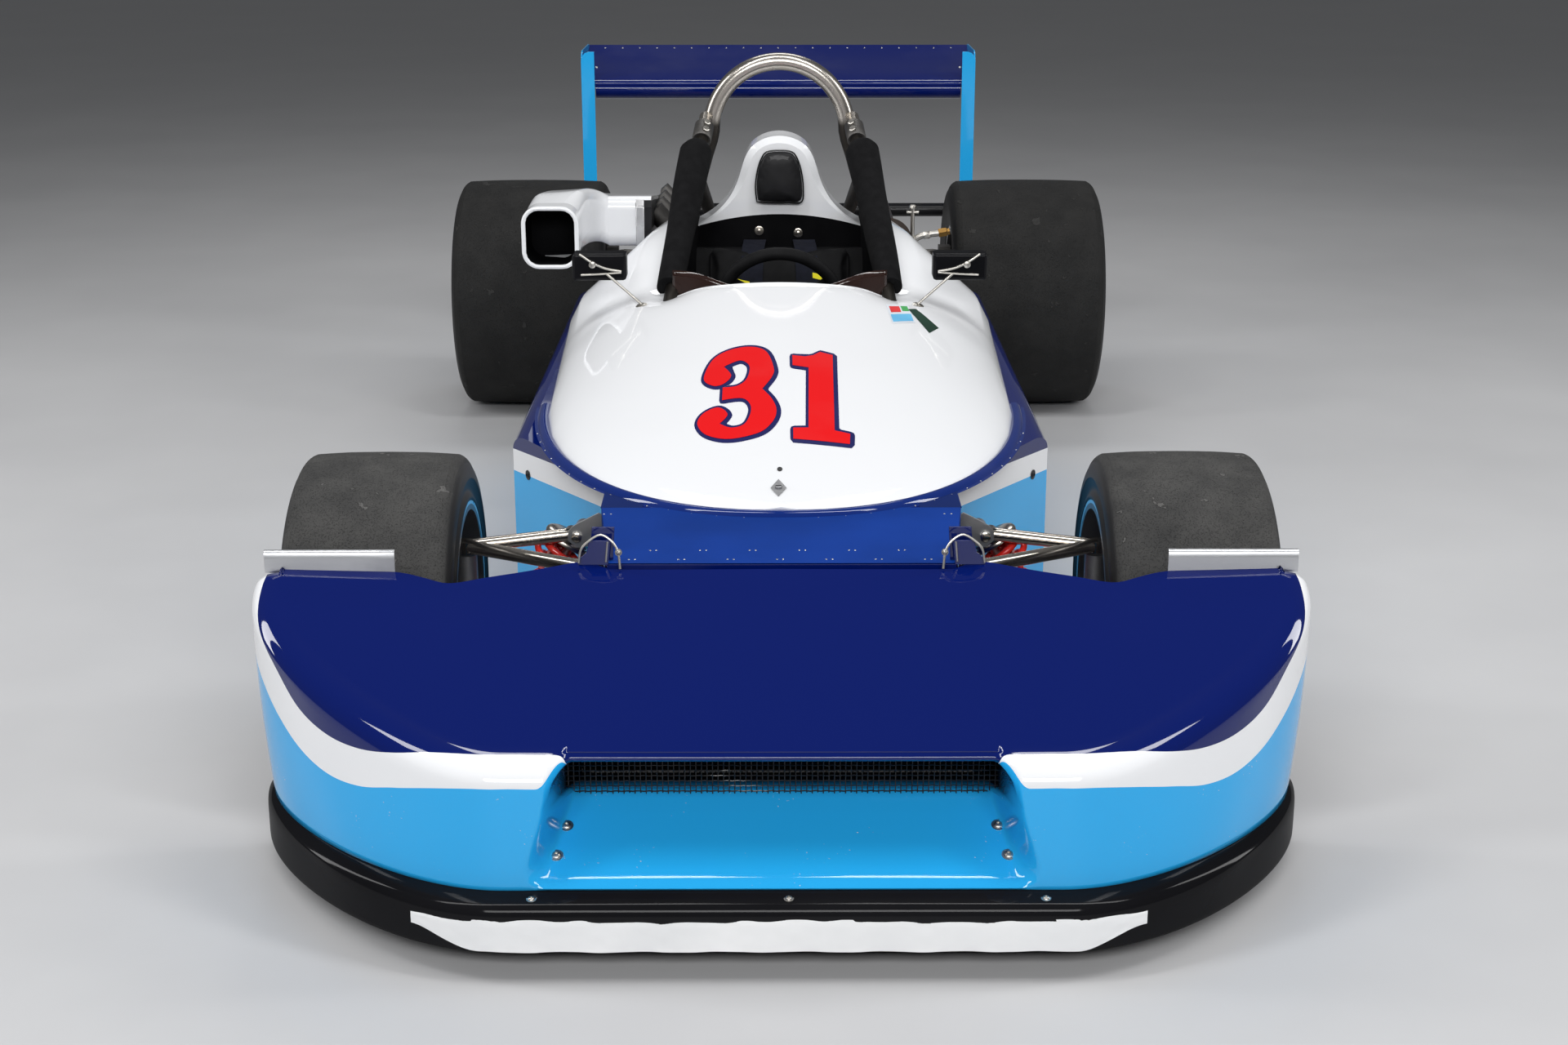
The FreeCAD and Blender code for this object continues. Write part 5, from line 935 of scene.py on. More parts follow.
# %% Surround net
mouth_line = mouth_path()
front_count = int(np.argmax(mouth_line[:, 1] > MOUTH_CORNER + 10))
columns = []
for k, inner in enumerate(mouth_line):
    if k < front_count:
        turn = (k / front_count) ** 1.25
        angle = turn * math.pi / 2
        foot_y = DOME_WIDE - (DOME_WIDE - DOME_FRONT) * math.cos(angle)
        foot_y += (inner[1] - DOME_WIDE) * float(ease(turn, 0.55, 1.0)) * turn
        outer = np.array([dome_half(foot_y) if k else 0.0, foot_y])
    else:
        outer = np.array([dome_half(inner[1]), inner[1]])
    column = []
    for t in np.linspace(0, 1, 64):
        spot = outer + (inner - outer) * t ** 1.7
        column.append((spot[0], spot[1], cover_height(*spot) if t else TUB_TOP))
    columns.append(column)
cover_piece = Form().grid(columns).mirrored().make(
    "surround_moulding", white_paint, stands_for=["cockpit_surround"], slot="white_paint", smooth=50)
weld(cover_piece)
thicken(cover_piece, SURROUND_WALL)
bpy.context.view_layer.update()
print("surround faces:", len(cover_piece.data.polygons), "front columns:", front_count)

# %% [markdown]
# ## Race number
# Race numbers are cut from coloured film and laid on the body. A flat outline is filled,
# sliced into strips so that it can bend, and dropped straight down on the surround. The dark
# edge is a second, slightly larger film underneath. It is stretched along the car, because the
# dome is seen almost end on.

# %% Number outlines
THREE = [(-102, 521), (-88, 477), (-101, 439), (-120, 434), (-137, 471), (-124, 557), (-96, 600), (-56, 613),
         (-26, 587), (-12, 508), (-15, 464), (-32, 409), (-15, 363), (-7, 312), (-14, 262), (-37, 217),
         (-86, 195), (-125, 217), (-142, 266), (-133, 311), (-108, 333), (-91, 300), (-104, 262), (-83, 242),
         (-60, 260), (-51, 325), (-66, 368), (-102, 364), (-102, 423), (-78, 426), (-61, 454), (-55, 505),
         (-61, 534), (-76, 546)]
THREE_CORNERS = (0, 11, 22, 27, 28)
ONE = [(22, 568), (45, 563), (60, 571), (73, 589), (96, 577), (91, 231), (117, 220), (115, 177), (21, 191),
       (21, 237), (47, 239), (51, 510), (22, 519)]


def smooth_ring(points, corners=()):
    """A closed outline through points, rounded except at the named corners."""
    points = [np.array(p, float) for p in points]
    count, ring = len(points), []
    for i in range(count):
        a, b, c, d = (points[(i + k) % count] for k in (-1, 0, 1, 2))
        start = np.zeros(2) if i in corners else (c - a) / 6
        end = np.zeros(2) if (i + 1) % count in corners else (d - b) / 6
        for t in np.linspace(0, 1, 9)[:-1]:
            ring.append((1 - t) ** 3 * b + 3 * (1 - t) ** 2 * t * (b + start)
                        + 3 * (1 - t) * t * t * (c - end) + t ** 3 * c)
    return np.array(ring)


def widened(ring, margin, stretch=1.0):
    """The ring pushed outwards, without the loops that its tight corners would leave."""
    ring = ring / (1.0, stretch)
    ahead = np.roll(ring, -1, 0) - np.roll(ring, 1, 0)
    ahead /= np.maximum(np.linalg.norm(ahead, axis=1), 1e-6)[:, None]
    area = np.sum(ring[:, 0] * np.roll(ring[:, 1], -1) - ring[:, 1] * np.roll(ring[:, 0], -1))
    pushed = ring + np.column_stack([ahead[:, 1], -ahead[:, 0]]) * np.sign(area) * margin
    nearest = np.linalg.norm(pushed[:, None] - ring[None], axis=2).min(axis=1)
    return pushed[nearest > margin * 0.93] * (1.0, stretch)


def film(name, rings, lift, finish, spacing=14.0):
    """A cut film laid on the surround from above."""
    mesh = bmesh.new()
    for ring in rings:
        verts = [mesh.verts.new((x, y, 0)) for x, y in ring]
        mesh.faces.new(verts)
    bmesh.ops.triangulate(mesh, faces=mesh.faces, ngon_method="EAR_CLIP")
    low = np.min([r.min(0) for r in rings], axis=0)
    high = np.max([r.max(0) for r in rings], axis=0)
    for axis in (0, 1):
        normal = Vector((1, 0, 0)) if axis == 0 else Vector((0, 1, 0))
        for cut in np.arange(low[axis] + spacing, high[axis], spacing):
            geometry = mesh.verts[:] + mesh.edges[:] + mesh.faces[:]
            bmesh.ops.bisect_plane(mesh, geom=geometry, plane_co=normal * cut, plane_no=normal, dist=1e-4)
    for vert in mesh.verts:
        place, out = landed(cover_piece, vert.co.x, vert.co.y)
        vert.co = at(*(place + out * lift))
    data = bpy.data.meshes.new(name)
    mesh.to_mesh(data)
    mesh.free()
    piece = bpy.data.objects.new(name, data)
    bpy.context.scene.collection.objects.link(piece)
    dress(piece, finish, 60)
    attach(piece, "chassis")
    return piece


EDGE_FILM, EDGE_STRETCH, EDGE_SHIFT = 6.5, 1.9, (1.5, -3.0)
digits = [smooth_ring(THREE, THREE_CORNERS), smooth_ring(ONE, range(len(ONE)))]
under = [widened(ring, EDGE_FILM, EDGE_STRETCH) + EDGE_SHIFT for ring in digits]
film("number_edge", under, 0.5, navy_film)
film("number", digits, 1.0, red_film)
print("digits laid:", len(digits))

# %% [markdown]
# ## Tyres and rims
# A slick is a turned body: a nearly flat crown, a round shoulder, a sidewall that bulges past
# the rim and a bead tucked under the rim's lip. One profile, scaled by radius and width, makes all four.

# %% Tyres
BEAD, TYRE_STEPS = 165.0, 128


def tyre(name, node, finish, shoulder, rim_half):
    """A tyre in place of a carried one, with its shoulder's radius and half its rim's width."""
    low, high = drawn(node)
    middle = (low + high) / 2
    half, radius = (high.x - low.x) / 2, (high.z - low.z) / 2
    crown = radius - 1.5
    bulge = [(0.0, radius), (half * 0.45, radius - 0.8), (half - shoulder * 1.25, crown - 2)]
    roll = [(half - shoulder * 1.25 + shoulder * 0.95 * math.sin(a), crown - 2 - shoulder * (1 - math.cos(a)))
            for a in np.linspace(0.3, 1.25, 6)]
    side = [(half - shoulder * 0.12, crown - shoulder * 1.25), (half, crown - shoulder * 2.0),
            (half - 1.0, (radius + BEAD) / 2), (half - 6, BEAD + 26), (rim_half + 2, BEAD + 12),
            (rim_half - 8, BEAD + 2)]
    outer = bulge + roll + side
    fine = bend(outer, 3)
    profile = np.vstack([fine[::-1] * (-1, 1), fine[1:]])
    turns = np.linspace(0, math.tau, TYRE_STEPS, endpoint=False)
    rows = [[(middle.x + a, middle.y + r * math.cos(t), middle.z + r * math.sin(t)) for t in turns]
            for a, r in profile]
    Form().grid(rows, ring=True).make(name, finish, node.replace("tyre", "wheel"), [node], "tyre_rubber", 50)


for side in ("left", "right"):
    tyre(f"front_slick_{side}", f"front_tyre_{side}", front_rubber, 20, 131)
    tyre(f"rear_slick_{side}", f"rear_tyre_{side}", rear_rubber, 26, 186)
print("tyres turned")

# %% [markdown]
# ## Bodywork marks
# The pods are painted in place, so their stripe runs at a height that falls a little towards
# the outer corner. A shader that asks only for the point's own place can draw it.

# %% Pod paint
TUB_HALF, POD_HALF = 285.0, 478.0
POD_FRONT, POD_CORNER, POD_BOLT_Z = 118.0, 434.0, 120
BAND_LOW, BAND_HIGH, BAND_LOW_RISE, BAND_HIGH_RISE = 361.0, 401.0, 20.0, 22.0


def pod_paint():
    f = Finish("pod paint")
    across, _, up = f.axes()
    inner = (across.sum("ABSOLUTE") * -1 + POD_HALF * MM) / ((POD_HALF - TUB_HALF) * MM)
    white = up.above(inner * BAND_LOW_RISE * MM + BAND_LOW * MM)
    navy = up.above(inner * BAND_HIGH_RISE * MM + BAND_HIGH * MM)
    return f.done(Base_Color=f.mix(navy, f.mix(white, SKY, WHITE), NAVY), Roughness=0.32,
                  Normal=f.bump(f.peel(), 0.03), **CLEAR)


pod_finish = pod_paint()
for side in ("left", "right"):
    dress(nodes[f"sidepod_{side}"], pod_finish, CRISP, 2)
    soften(nodes[f"sidepod_{side}"], 2)
pod_screws = Form()
screw(pod_screws, (447, 382, 366), (POD_CORNER - POD_FRONT, TUB_HALF - POD_HALF, 0), 6.5, 2.5)
for y in np.arange(560, 1700, 190):
    screw(pod_screws, (POD_HALF, y, POD_BOLT_Z), (1, 0, 0), 4.5, 2.0)
pod_screws.mirrored().make("pod_screws", satin_black)

# %% [markdown]
# In front of the cockpit the tub is closed by a riveted sheet, and the surround stands in a
# rolled flange. The flange follows the surround's own plan, an oval whose corners are a little
# fuller than an ellipse.

# %% Riveted sheet and flange
SHEET_BACK, SHEET_FRONT, SHEET_HALF_FRONT, SHEET_HALF_BACK = -37.0, -318.0, 252.0, TUB_HALF - 2
SHEET_FOLD, SHEET_THICK, CORNER_WIDE, CORNER_LONG = 34, 1.2, 66, 117
FLANGE = [(-8, 430.2), (-2, 436), (4, 439.5), (10, 439.0), (15, 435.5), (18, 430.6), (22, 430.4), (24, 429.8)]
FLANGE_RIVETS = 21


def dome_place(angle):
    """A point of the surround's edge in plan."""
    return np.array([DOME_HALF * max(0.0, math.sin(angle)) ** (2 / DOME_POWER),
                     DOME_WIDE - (DOME_WIDE - DOME_FRONT) * math.cos(angle)])


def dome_edge(turn, reach):
    """A place outside the surround's edge, from its front (turn 0) to its side (turn 1)."""
    angle = turn * math.pi / 2
    run = dome_place(angle + 1e-3) - dome_place(max(0.0, angle - 1e-3))
    x, y = dome_place(angle) + np.array([run[1], -run[0]]) / np.linalg.norm(run) * reach
    return max(0.0, x), y


rows = [[(*dome_edge(turn, reach), z) for reach, z in FLANGE]
        for turn in np.concatenate([np.linspace(0, 0.12, 14), np.linspace(0.13, 0.97, 46)])]
Form().grid(rows).mirrored().make("surround_flange", flange_blue, smooth=50)
rows = []
for y in np.linspace(SHEET_FRONT, SHEET_BACK, 8):
    half = np.interp(y, (SHEET_FRONT, SHEET_BACK), (SHEET_HALF_FRONT, SHEET_HALF_BACK))
    section = [(half + 0.8, -SHEET_FOLD), (half + 0.8, 0.2), (half, SHEET_THICK)]
    rows.append([(-x, y, TUB_TOP + z) for x, z in section] + [(x, y, TUB_TOP + z) for x, z in section[::-1]])
Form().grid(rows).make("foot_cover", sheet_blue)
corner = Form().block((TUB_HALF - CORNER_WIDE, SHEET_BACK + 1, TUB_TOP),
                      (TUB_HALF, SHEET_BACK + 1 + CORNER_LONG, TUB_TOP + 1))
corner.mirrored().make("corner_sheets", dusty_blue)


def rivet(form, place, axis=(0, 0, 1), size=1.6):
    """A low dome head."""
    head = [(0, size), (size * 0.35, size * 0.9), (size * 0.55, size * 0.5), (size * 0.6, 0.01)]
    form.turned(head, place, axis, 10)


rivets = Form()
for y, first, step, count in ((-257.0, -190.0, 73.6, 6), (-300.0, -219.0, 72.2, 7)):
    for k in range(count):
        for apart in (-4.5, 4.5):
            rivet(rivets, (first + step * k + apart, y, TUB_TOP + SHEET_THICK))
for x in (-277, -266, 255, 266):
    rivet(rivets, (x, -72, TUB_TOP + SHEET_THICK))
for turn in np.linspace(0.06, 0.8, 15):
    x, y = dome_edge(turn, FLANGE_RIVETS)
    for sign in (-1, 1):
        rivet(rivets, (sign * x, y, TUB_TOP + 0.4))
rivets.make("rivets", steel, smooth=60)
print("rivets:", len(rivets.faces))

# %% [markdown]
# The surround lifts off for access, so it has a quarter-turn latch in a diamond plate at its
# front, and the hole of a second one, laid as a black film of painted shade; the latch's slot is a
# black bar of painted shade. A small inspection sticker and a strip of dark tape sit beside the
# cockpit. They are films like the number.

# %% Surround fittings
LATCH = (-4.0, -2.0)
LATCH_PLATE = [(-4.1, -34.5), (8.55, -2.3), (-4.1, 29.9), (-16.75, -2.3)]
LATCH_HOLE, HOLE_WIDE, HOLE_LONG = (-2, 70), 4.4, 8.5
STICKER_CORNER, STICKER_LONG, STICKER_WIDE = np.array([(209.0, 903.0), (8.0, -110.0), (46.0, 38.0)])
STICKER = [(0, 0, 1, 1, (0.62, 0.68, 0.76)), (0.05, 0.55, 0.95, 0.92, (0.12, 0.42, 0.72)),
           (0.1, 0.12, 0.55, 0.45, (0.60, 0.03, 0.03)), (0.62, 0.1, 0.92, 0.4, (0.05, 0.30, 0.08))]
DARK_STRIP = [(288.0, 791.0), (310.0, 844.0), (270.0, 924.0), (253.0, 907.0)]

film("latch_plate", [np.array(LATCH_PLATE)], 1.6, cast)
# The second latch's hole is a flat black film: painted shade.
hole_shade_ring = [(LATCH_HOLE[0] + HOLE_WIDE * math.cos(a), LATCH_HOLE[1] + HOLE_LONG * math.sin(a))
        for a in np.linspace(0, math.tau, 20, endpoint=False)]
film("latch_hole_shade", [np.array(hole_shade_ring)], 0.6, satin_black)
spot, up = landed(cover_piece, *LATCH)
head = Form().turned([(0, 6.2), (2.6, 6.0), (3.2, 5.2), (3.2, 0.01)], spot + up * 1.6, up, 24)
head.make("latch_head", cast)
# The latch's slot is a black bar on the head: painted shade in place of the groove.
slot_shade_bar = Form().tube([spot + up * 5.0 + (-4.4, 0, 0), spot + up * 5.0 + (4.4, 0, 0)], 0.8, 6)
slot_shade_bar.make("latch_slot_shade", satin_black)
for number, (u0, v0, u1, v1, colour) in enumerate(STICKER):
    corners = ((u0, v0), (u1, v0), (u1, v1), (u0, v1))
    ring = [STICKER_CORNER + STICKER_LONG * v + STICKER_WIDE * u for u, v in corners]
    film(f"check_sticker_{number}", [np.array(ring)], 0.85 if number else 0.5,
         plain(f"sticker film {number}", colour, rough=0.35, grain=9, depth=0.02, coat=0.3))
film("dark_strip", [np.array(DARK_STRIP)], 0.6, green_tape)
print("surround fittings laid")

# %% [markdown]
# ## Cockpit
# Behind the driver the tub ends in a dark bulkhead with pale washers. The smoked screen shows only
# at the opening's two front corners, so its top edge dips in the middle.

# %% Bulkhead and screen
TRIM_Y, TRIM_HALF, TRIM_FLOOR, TRIM_SIDE, TRIM_RISE = COCKPIT_BACK - 3.0, 178.0, 432.0, 641.0, 26.0
WASHER = [(0, 10), (2.5, 10), (3, 8.5), (3, 4.5), (7, 4.3), (7.5, 3), (7.5, 0.01)]
SCREEN_HALF, SCREEN_FOOT, SCREEN_LOW, SCREEN_RISE, SCREEN_WALL = 216, 530.0, 586.0, 30.0, 1.6


def sheet_across(xs, foot, top, lift, y):
    """A sheet across the cockpit, from a level foot to a top edge whose height depends on x."""
    return Form().grid([[(x, y(x, t), foot + (top(x) - foot) * t) for x in xs] for t in np.linspace(0, 1, lift)])


def trim_top(x):
    """The arch under the headrest."""
    return TRIM_SIDE + TRIM_RISE * (1 - (x / TRIM_HALF) ** 2)


def screen_top(x):
    """The screen stays under the opening's edge in the middle and stands up at both corners."""
    return SCREEN_LOW + SCREEN_RISE * float(ease(abs(x), 60, 195))


def screen_y(x, t):
    """The screen follows the opening's front edge and leans back a little."""
    return mouth_front(x) + 5 + 5 * t


trim = sheet_across(np.linspace(-TRIM_HALF, TRIM_HALF, 24), TRIM_FLOOR, trim_top, 6, lambda x, t: TRIM_Y)
trim.make("bulkhead_trim", black_and_painted_shade)
washers = Form()
for x, z in ((-44, 631), (41, 626), (43, 550), (113, 550)):
    washers.turned(WASHER, (x, TRIM_Y, z), (0, -1, 0), 20)
washers.make("bulkhead_washers", nickel)
screen = sheet_across(np.linspace(-SCREEN_HALF, SCREEN_HALF, 61), SCREEN_FOOT, screen_top, 8, screen_y)
screen = screen.make("screen_film", smoked_screen, stands_for=["windscreen"], slot="smoked_screen")
screen.data.materials.append(smoked_edge)
thicken(screen, SCREEN_WALL).material_offset_rim = 1
print("screen points:", len(screen.data.vertices))

# %% [markdown]
# The opening's edge is rolled over, which stiffens the thin moulding and rounds its corners.
# The bead follows the opening and rides on the surround's own height at every point. A near-black
# sheet hangs from it as painted shade, so that nothing of the tub's inside shows between the sleeve and the edge.

# %% Rolled opening edge
BEAD_SECTION = [(-8, -1.0), (-4.5, 0.7), (-1.5, 1.3), (1.0, 0.4), (2.8, -2.4), (3.2, -7), (3.0, -16)]
SHADE_SHEET_IN, SHADE_SHEET_DOWN, SHADE_SHEET_FOOT = 3.5, 12, 436
rim_line = bend(mouth_line[:-1], 2)
rows = []
for i, spot in enumerate(rim_line):
    run = rim_line[min(i + 1, len(rim_line) - 1)] - rim_line[max(i - 1, 0)]
    into = np.array([-run[1], run[0]]) / np.linalg.norm(run)
    ring = []
    for a, rise in BEAD_SECTION:
        place = spot + into * a
        ring.append((place[0] if i else 0.0, place[1], cover_height(*(place if a < 0 else spot)) + rise))
    rows.append(ring)
Form().grid(rows).mirrored().make("opening_edge", white_paint, smooth=60)
print("edge points:", len(rows))
# A near-black sheet of painted shade inside the opening.
rows = [[(x - SHADE_SHEET_IN, y + SHADE_SHEET_IN * (y < MOUTH_CORNER + 8), z)
         for z in np.linspace(cover_height(x, y) - SHADE_SHEET_DOWN, SHADE_SHEET_FOOT, 4)]
        for x, y in mouth_line[front_count - 1:]]
Form().grid(rows).mirrored().make("cockpit_shade_sheet", black_and_painted_shade, smooth=60)

# %% [markdown]
# ## Padding
# Foam sleeves are slit along their length and pushed over the two forward braces, so they hang a
# little loose and narrow towards the foot, where they meet the surround. They are swept along the
# brace with a slow wobble in their radius, because a cut foam tube is never quite round.

# %% Foam sleeves
BRACE_HIGH, BRACE_FOOT = np.array([161.0, 1517.0, 862.0]), np.array([219.0, 1000.0, 562.0])
BRACE_DOWN = (BRACE_FOOT - BRACE_HIGH) / np.linalg.norm(BRACE_FOOT - BRACE_HIGH)
SLEEVE_START, SLEEVE_END, SLEEVE_ROUND, SLEEVE_NARROWER, SLEEVE_HANG = 0.185, 0.95, 35.5, 10.0, 7.0
SLIT_ANGLE, SLIT_DEEP = 4.4, 2.6


def on_brace(share):
    """A place on the right brace, by its share of the way down from the hoop."""
    return BRACE_HIGH + (BRACE_FOOT - BRACE_HIGH) * share


def sleeve(side):
    """One sleeve with a rounded top end and a slit that shows as a crease."""
    flat = np.cross(BRACE_DOWN, (0, 0, 1))
    flat /= np.linalg.norm(flat)
    up = np.cross(flat, BRACE_DOWN)
    rows = []
    for t in np.linspace(0, 1, 60):
        size = SLEEVE_ROUND - SLEEVE_NARROWER * t ** 1.3 + 0.8 * math.sin(9 * t + side)
        size *= 1 - 0.20 * float(1 - ease(t, 0, 0.035))
        middle = on_brace(SLEEVE_START + (SLEEVE_END - SLEEVE_START) * t) + (SLEEVE_HANG, 0, 0)
        ring = []
        for a in np.linspace(0, math.tau, 36, endpoint=False):
            slit = SLIT_DEEP * math.exp(-(math.remainder(a - SLIT_ANGLE, math.tau) / 0.09) ** 2)
            r = size - slit + 0.5 * math.sin(3 * a + 4 * t + side)
            ring.append((middle + r * (math.cos(a) * flat + math.sin(a) * up)) * (side, 1, 1))
        rows.append(ring)
    return rows


sleeves = Form()
for side in (1, -1):
    sleeves.grid(sleeve(side), ring=True, shut=True)
sleeve_piece = sleeves.make("foam_sleeves", foam, stands_for=["brace_pads"], smooth=50)
print("sleeve faces:", len(sleeve_piece.data.polygons))

# %% [markdown]
# The roll hoop is one bent tube whose legs spread outward below the bend, so that they stand
# behind the sleeves. The braces and the rear stays are straight tubes that meet it.

# %% Roll hoop
HOOP_Y, HOOP_RADIUS, HOOP_BEND_Z, HOOP_TUBE, BRACE_TUBE = 1536.0, 150.0, 831.0, 19.0, 15
HOOP_LEG = [(216, HOOP_Y, 560), (190, HOOP_Y, 680), (164, HOOP_Y, 780), (154, HOOP_Y, 812)]
LEG_TUBES = [15, 16.5, 18.5]
STAY = [(178.0, HOOP_Y, 720.0), (146.0, 2100.0, 480.0)]
arc = [(HOOP_RADIUS * math.cos(a), HOOP_Y, HOOP_BEND_Z + HOOP_RADIUS * math.sin(a))
       for a in np.linspace(0, math.pi, 49)]
run = HOOP_LEG + arc + [(-x, y, z) for x, y, z in HOOP_LEG[::-1]]
hoop = Form()
for ends in ([BRACE_HIGH, on_brace(1.2)], STAY):
    hoop.tube(ends, BRACE_TUBE, 20)
hoop.mirrored().tube(run, LEG_TUBES + [HOOP_TUBE] * (len(run) - 2 * len(LEG_TUBES)) + LEG_TUBES[::-1], 24)
hoop.make("hoop_tubes", plated_hoop, stands_for=["roll_hoop"], slot="bright_tube", smooth=50)

# %% [markdown]
# The braces are bolted to the hoop through welded tabs, which shows as a dark clamp with two
# bolt heads just above each sleeve.

# %% Brace joints
CLAMP = [(-26, 15.5), (-26, 19.5), (-24, 21), (24, 21), (26, 19.5), (26, 15.5)]
CLAMP_SHARE, BOLT_OUT = 0.095, np.array([-0.35, -0.55, 0.76])
joints, joint_bolts = Form(), Form()
joints.turned(CLAMP, on_brace(CLAMP_SHARE), BRACE_DOWN, 28)
for step in (-12, 12):
    spot = on_brace(CLAMP_SHARE) + BRACE_DOWN * step + BOLT_OUT / np.linalg.norm(BOLT_OUT) * 19.5
    joint_bolts.turned([(0, 8), (6, 8), (7, 6.5), (7, 0.01)], spot, BOLT_OUT, 6)
joints.mirrored().make("brace_joints", cast_dark, smooth=40)
joint_bolts.mirrored().make("brace_bolts", steel, smooth=30)

# %% [markdown]
# ## Cushions
# The headrest and the seat are vinyl over foam. A plain closed form is filled from inside by
# the cloth solver, so that its faces crown and its corners stay drawn in. The points may only move
# a few millimetres, and never into the panel behind, where a real pad lies flat.


# %% Cushion maker
def points_of(mesh):
    """Every point of a mesh as one array."""
    flat = np.empty(len(mesh.vertices) * 3, np.float32)
    mesh.vertices.foreach_get("co", flat)
    return flat.reshape(-1, 3)


def swollen(piece, behind, facing, cap, pressure=4.0, voxel=5.0):
    """Fills a closed piece by cloth pressure and keeps its back on the panel behind it."""
    remesh = piece.modifiers.new("even net", "REMESH")
    remesh.mode, remesh.voxel_size, remesh.use_smooth_shade = "VOXEL", voxel * MM, True
    graph = bpy.context.evaluated_depsgraph_get()
    piece.data = bpy.data.meshes.new_from_object(piece.evaluated_get(graph))
    piece.modifiers.remove(remesh)
    start = points_of(piece.data)
    final = start.copy()
    cloth = piece.modifiers.new("filling", "CLOTH")
    cloth.settings.use_pressure = True
    cloth.settings.uniform_pressure_force = pressure
    cloth.settings.effector_weights.gravity = 0
    for frame_number in range(1, 21):
        bpy.context.scene.frame_set(frame_number)
    shift = points_of(piece.evaluated_get(bpy.context.evaluated_depsgraph_get()).data) - start
    piece.modifiers.remove(cloth)
    bpy.context.scene.frame_set(1)
    far = np.linalg.norm(shift, axis=1)[:, None]
    final = start + shift * np.minimum(1, cap * MM / np.maximum(far, 1e-9))
    base, face = np.array(at(*behind)), np.asarray(facing, float)
    depth = (final - base) @ face
    final -= np.minimum(depth, 0)[:, None] * face
    piece.data.vertices.foreach_set("co", final.astype(np.float32).ravel())
    piece.data.update()
    piece.data.shade_smooth()
    finer = piece.modifiers.new("finer", "SUBSURF")
    finer.levels = finer.render_levels = 1
    return float(np.abs(final - start).max()) / MM


def slab(outline, place, thick):
    """A closed plate from an outline in its own plane, with its edge rounded back and front."""
    outline = np.asarray(outline, float)
    middle = outline.mean(0)
    rounded = ((0.002, 0.5), (0.90, 0.5), (0.985, 2.5), (1.0, thick * 0.5), (0.97, thick - 4),
               (0.90, thick - 1.5), (0.6, thick), (0.002, thick))
    rows = [[place(*(middle + (p - middle) * share), depth) for p in outline] for share, depth in rounded]
    return Form().grid(rows, ring=True, shut=True)


# %% Headrest
PAD_BACK, PAD_MIDDLE, PAD_THICK, PIPING_FORWARD, PIPING_SHARE = 1399.5, 750, 22, 12.0, 1.035
PAD = [(-47, 697), (-20, 695), (20, 695), (47, 697), (50, 728), (46, 760), (38, 786), (26, 801), (0, 804),
       (-26, 801), (-38, 786), (-46, 760), (-50, 728)]
pad_outline = bend(PAD + PAD[:1], 4)[:-1]
rest = slab(pad_outline, lambda x, z, d: (x, PAD_BACK - d, z), PAD_THICK).make(
    "headrest_cushion", vinyl, stands_for=["headrest_pad"], smooth=80)
print("headrest moved", round(swollen(rest, (0, PAD_BACK, 0), (0, -1, 0), 7.0), 1), "mm")
piping_line = (pad_outline - (0, PAD_MIDDLE)) * PIPING_SHARE + (0, PAD_MIDDLE)
piping = Form().tube([(x, PAD_BACK - PIPING_FORWARD, z) for x, z in piping_line], 1.7, 8, ring=True)
piping.make("headrest_piping", satin_black)

# %% Seat cushions
SEAT_FLOOR, SEAT_BEND, SEAT_TOP_Y, SEAT_TOP, SEAT_SHELL, ROLL_THICK = 88.0, 1090.0, 1370.0, 600.0, 24.0, 20
back_low = np.array([0, SEAT_BEND, SEAT_FLOOR + SEAT_SHELL])
back_high = np.array([0, SEAT_TOP_Y - SEAT_SHELL, SEAT_TOP])
back_run = (back_high - back_low) / np.linalg.norm(back_high - back_low)
back_out = np.array([0, -back_run[2], back_run[1]])


def on_back(x, reach, depth):
    """A place in front of the seat's back, by its way up from the bend."""
    return tuple(back_low + back_run * reach + back_out * (depth + 1.0) + (x, 0, 0))


def on_squab(x, y, depth):
    """A place above the seat's floor."""
    return (x, y, SEAT_FLOOR + SEAT_SHELL + 1.0 + depth)


def squared(half, low, high, soft=26.0):
    """A rectangle with round corners."""
    corners = []
    for x, y, start in ((half - soft, low + soft, -90), (half - soft, high - soft, 0),
                        (soft - half, high - soft, 90), (soft - half, low + soft, 180)):
        for a in np.radians([start, start + 30, start + 60, start + 90]):
            corners.append((x + soft * math.cos(a), y + soft * math.sin(a)))
    return corners


SEAT_CUSHIONS = [(f"seat_back_roll_{number}", squared(160, low, high), on_back, back_low + back_out, back_out)
                 for number, (low, high) in enumerate(((60, 225), (229, 394), (398, 555)))]
SEAT_CUSHIONS.append(("seat_squab", squared(150, 830, 1060), on_squab, on_squab(0, 0, 0), (0, 0, 1)))
for name, shape, laid, behind, facing in SEAT_CUSHIONS:
    cushion = slab(shape, laid, ROLL_THICK).make(name, soft_black, smooth=80)
    swollen(cushion, behind, facing, 8.0, voxel=6.0)
print("cushions:", 1 + len(SEAT_CUSHIONS))

# %% [markdown]
# The harness is flat woven webbing. The two shoulder straps come through the bulkhead, over the
# seat's top edge and down the back to a round buckle, where the two lap straps meet them. They
# lie flat on what is below, so they are modelled as flat bands. Each shoulder strap carries a
# small yellow label at its outer edge.

# %% Harness
BUCKLE, BUCKLE_UP = (0.0, 1010.0, 175.0), (0, -0.5, 0.87)
SHOULDER_WIDE, LAP_WIDE, LABEL_HALF = 48, 46, 13


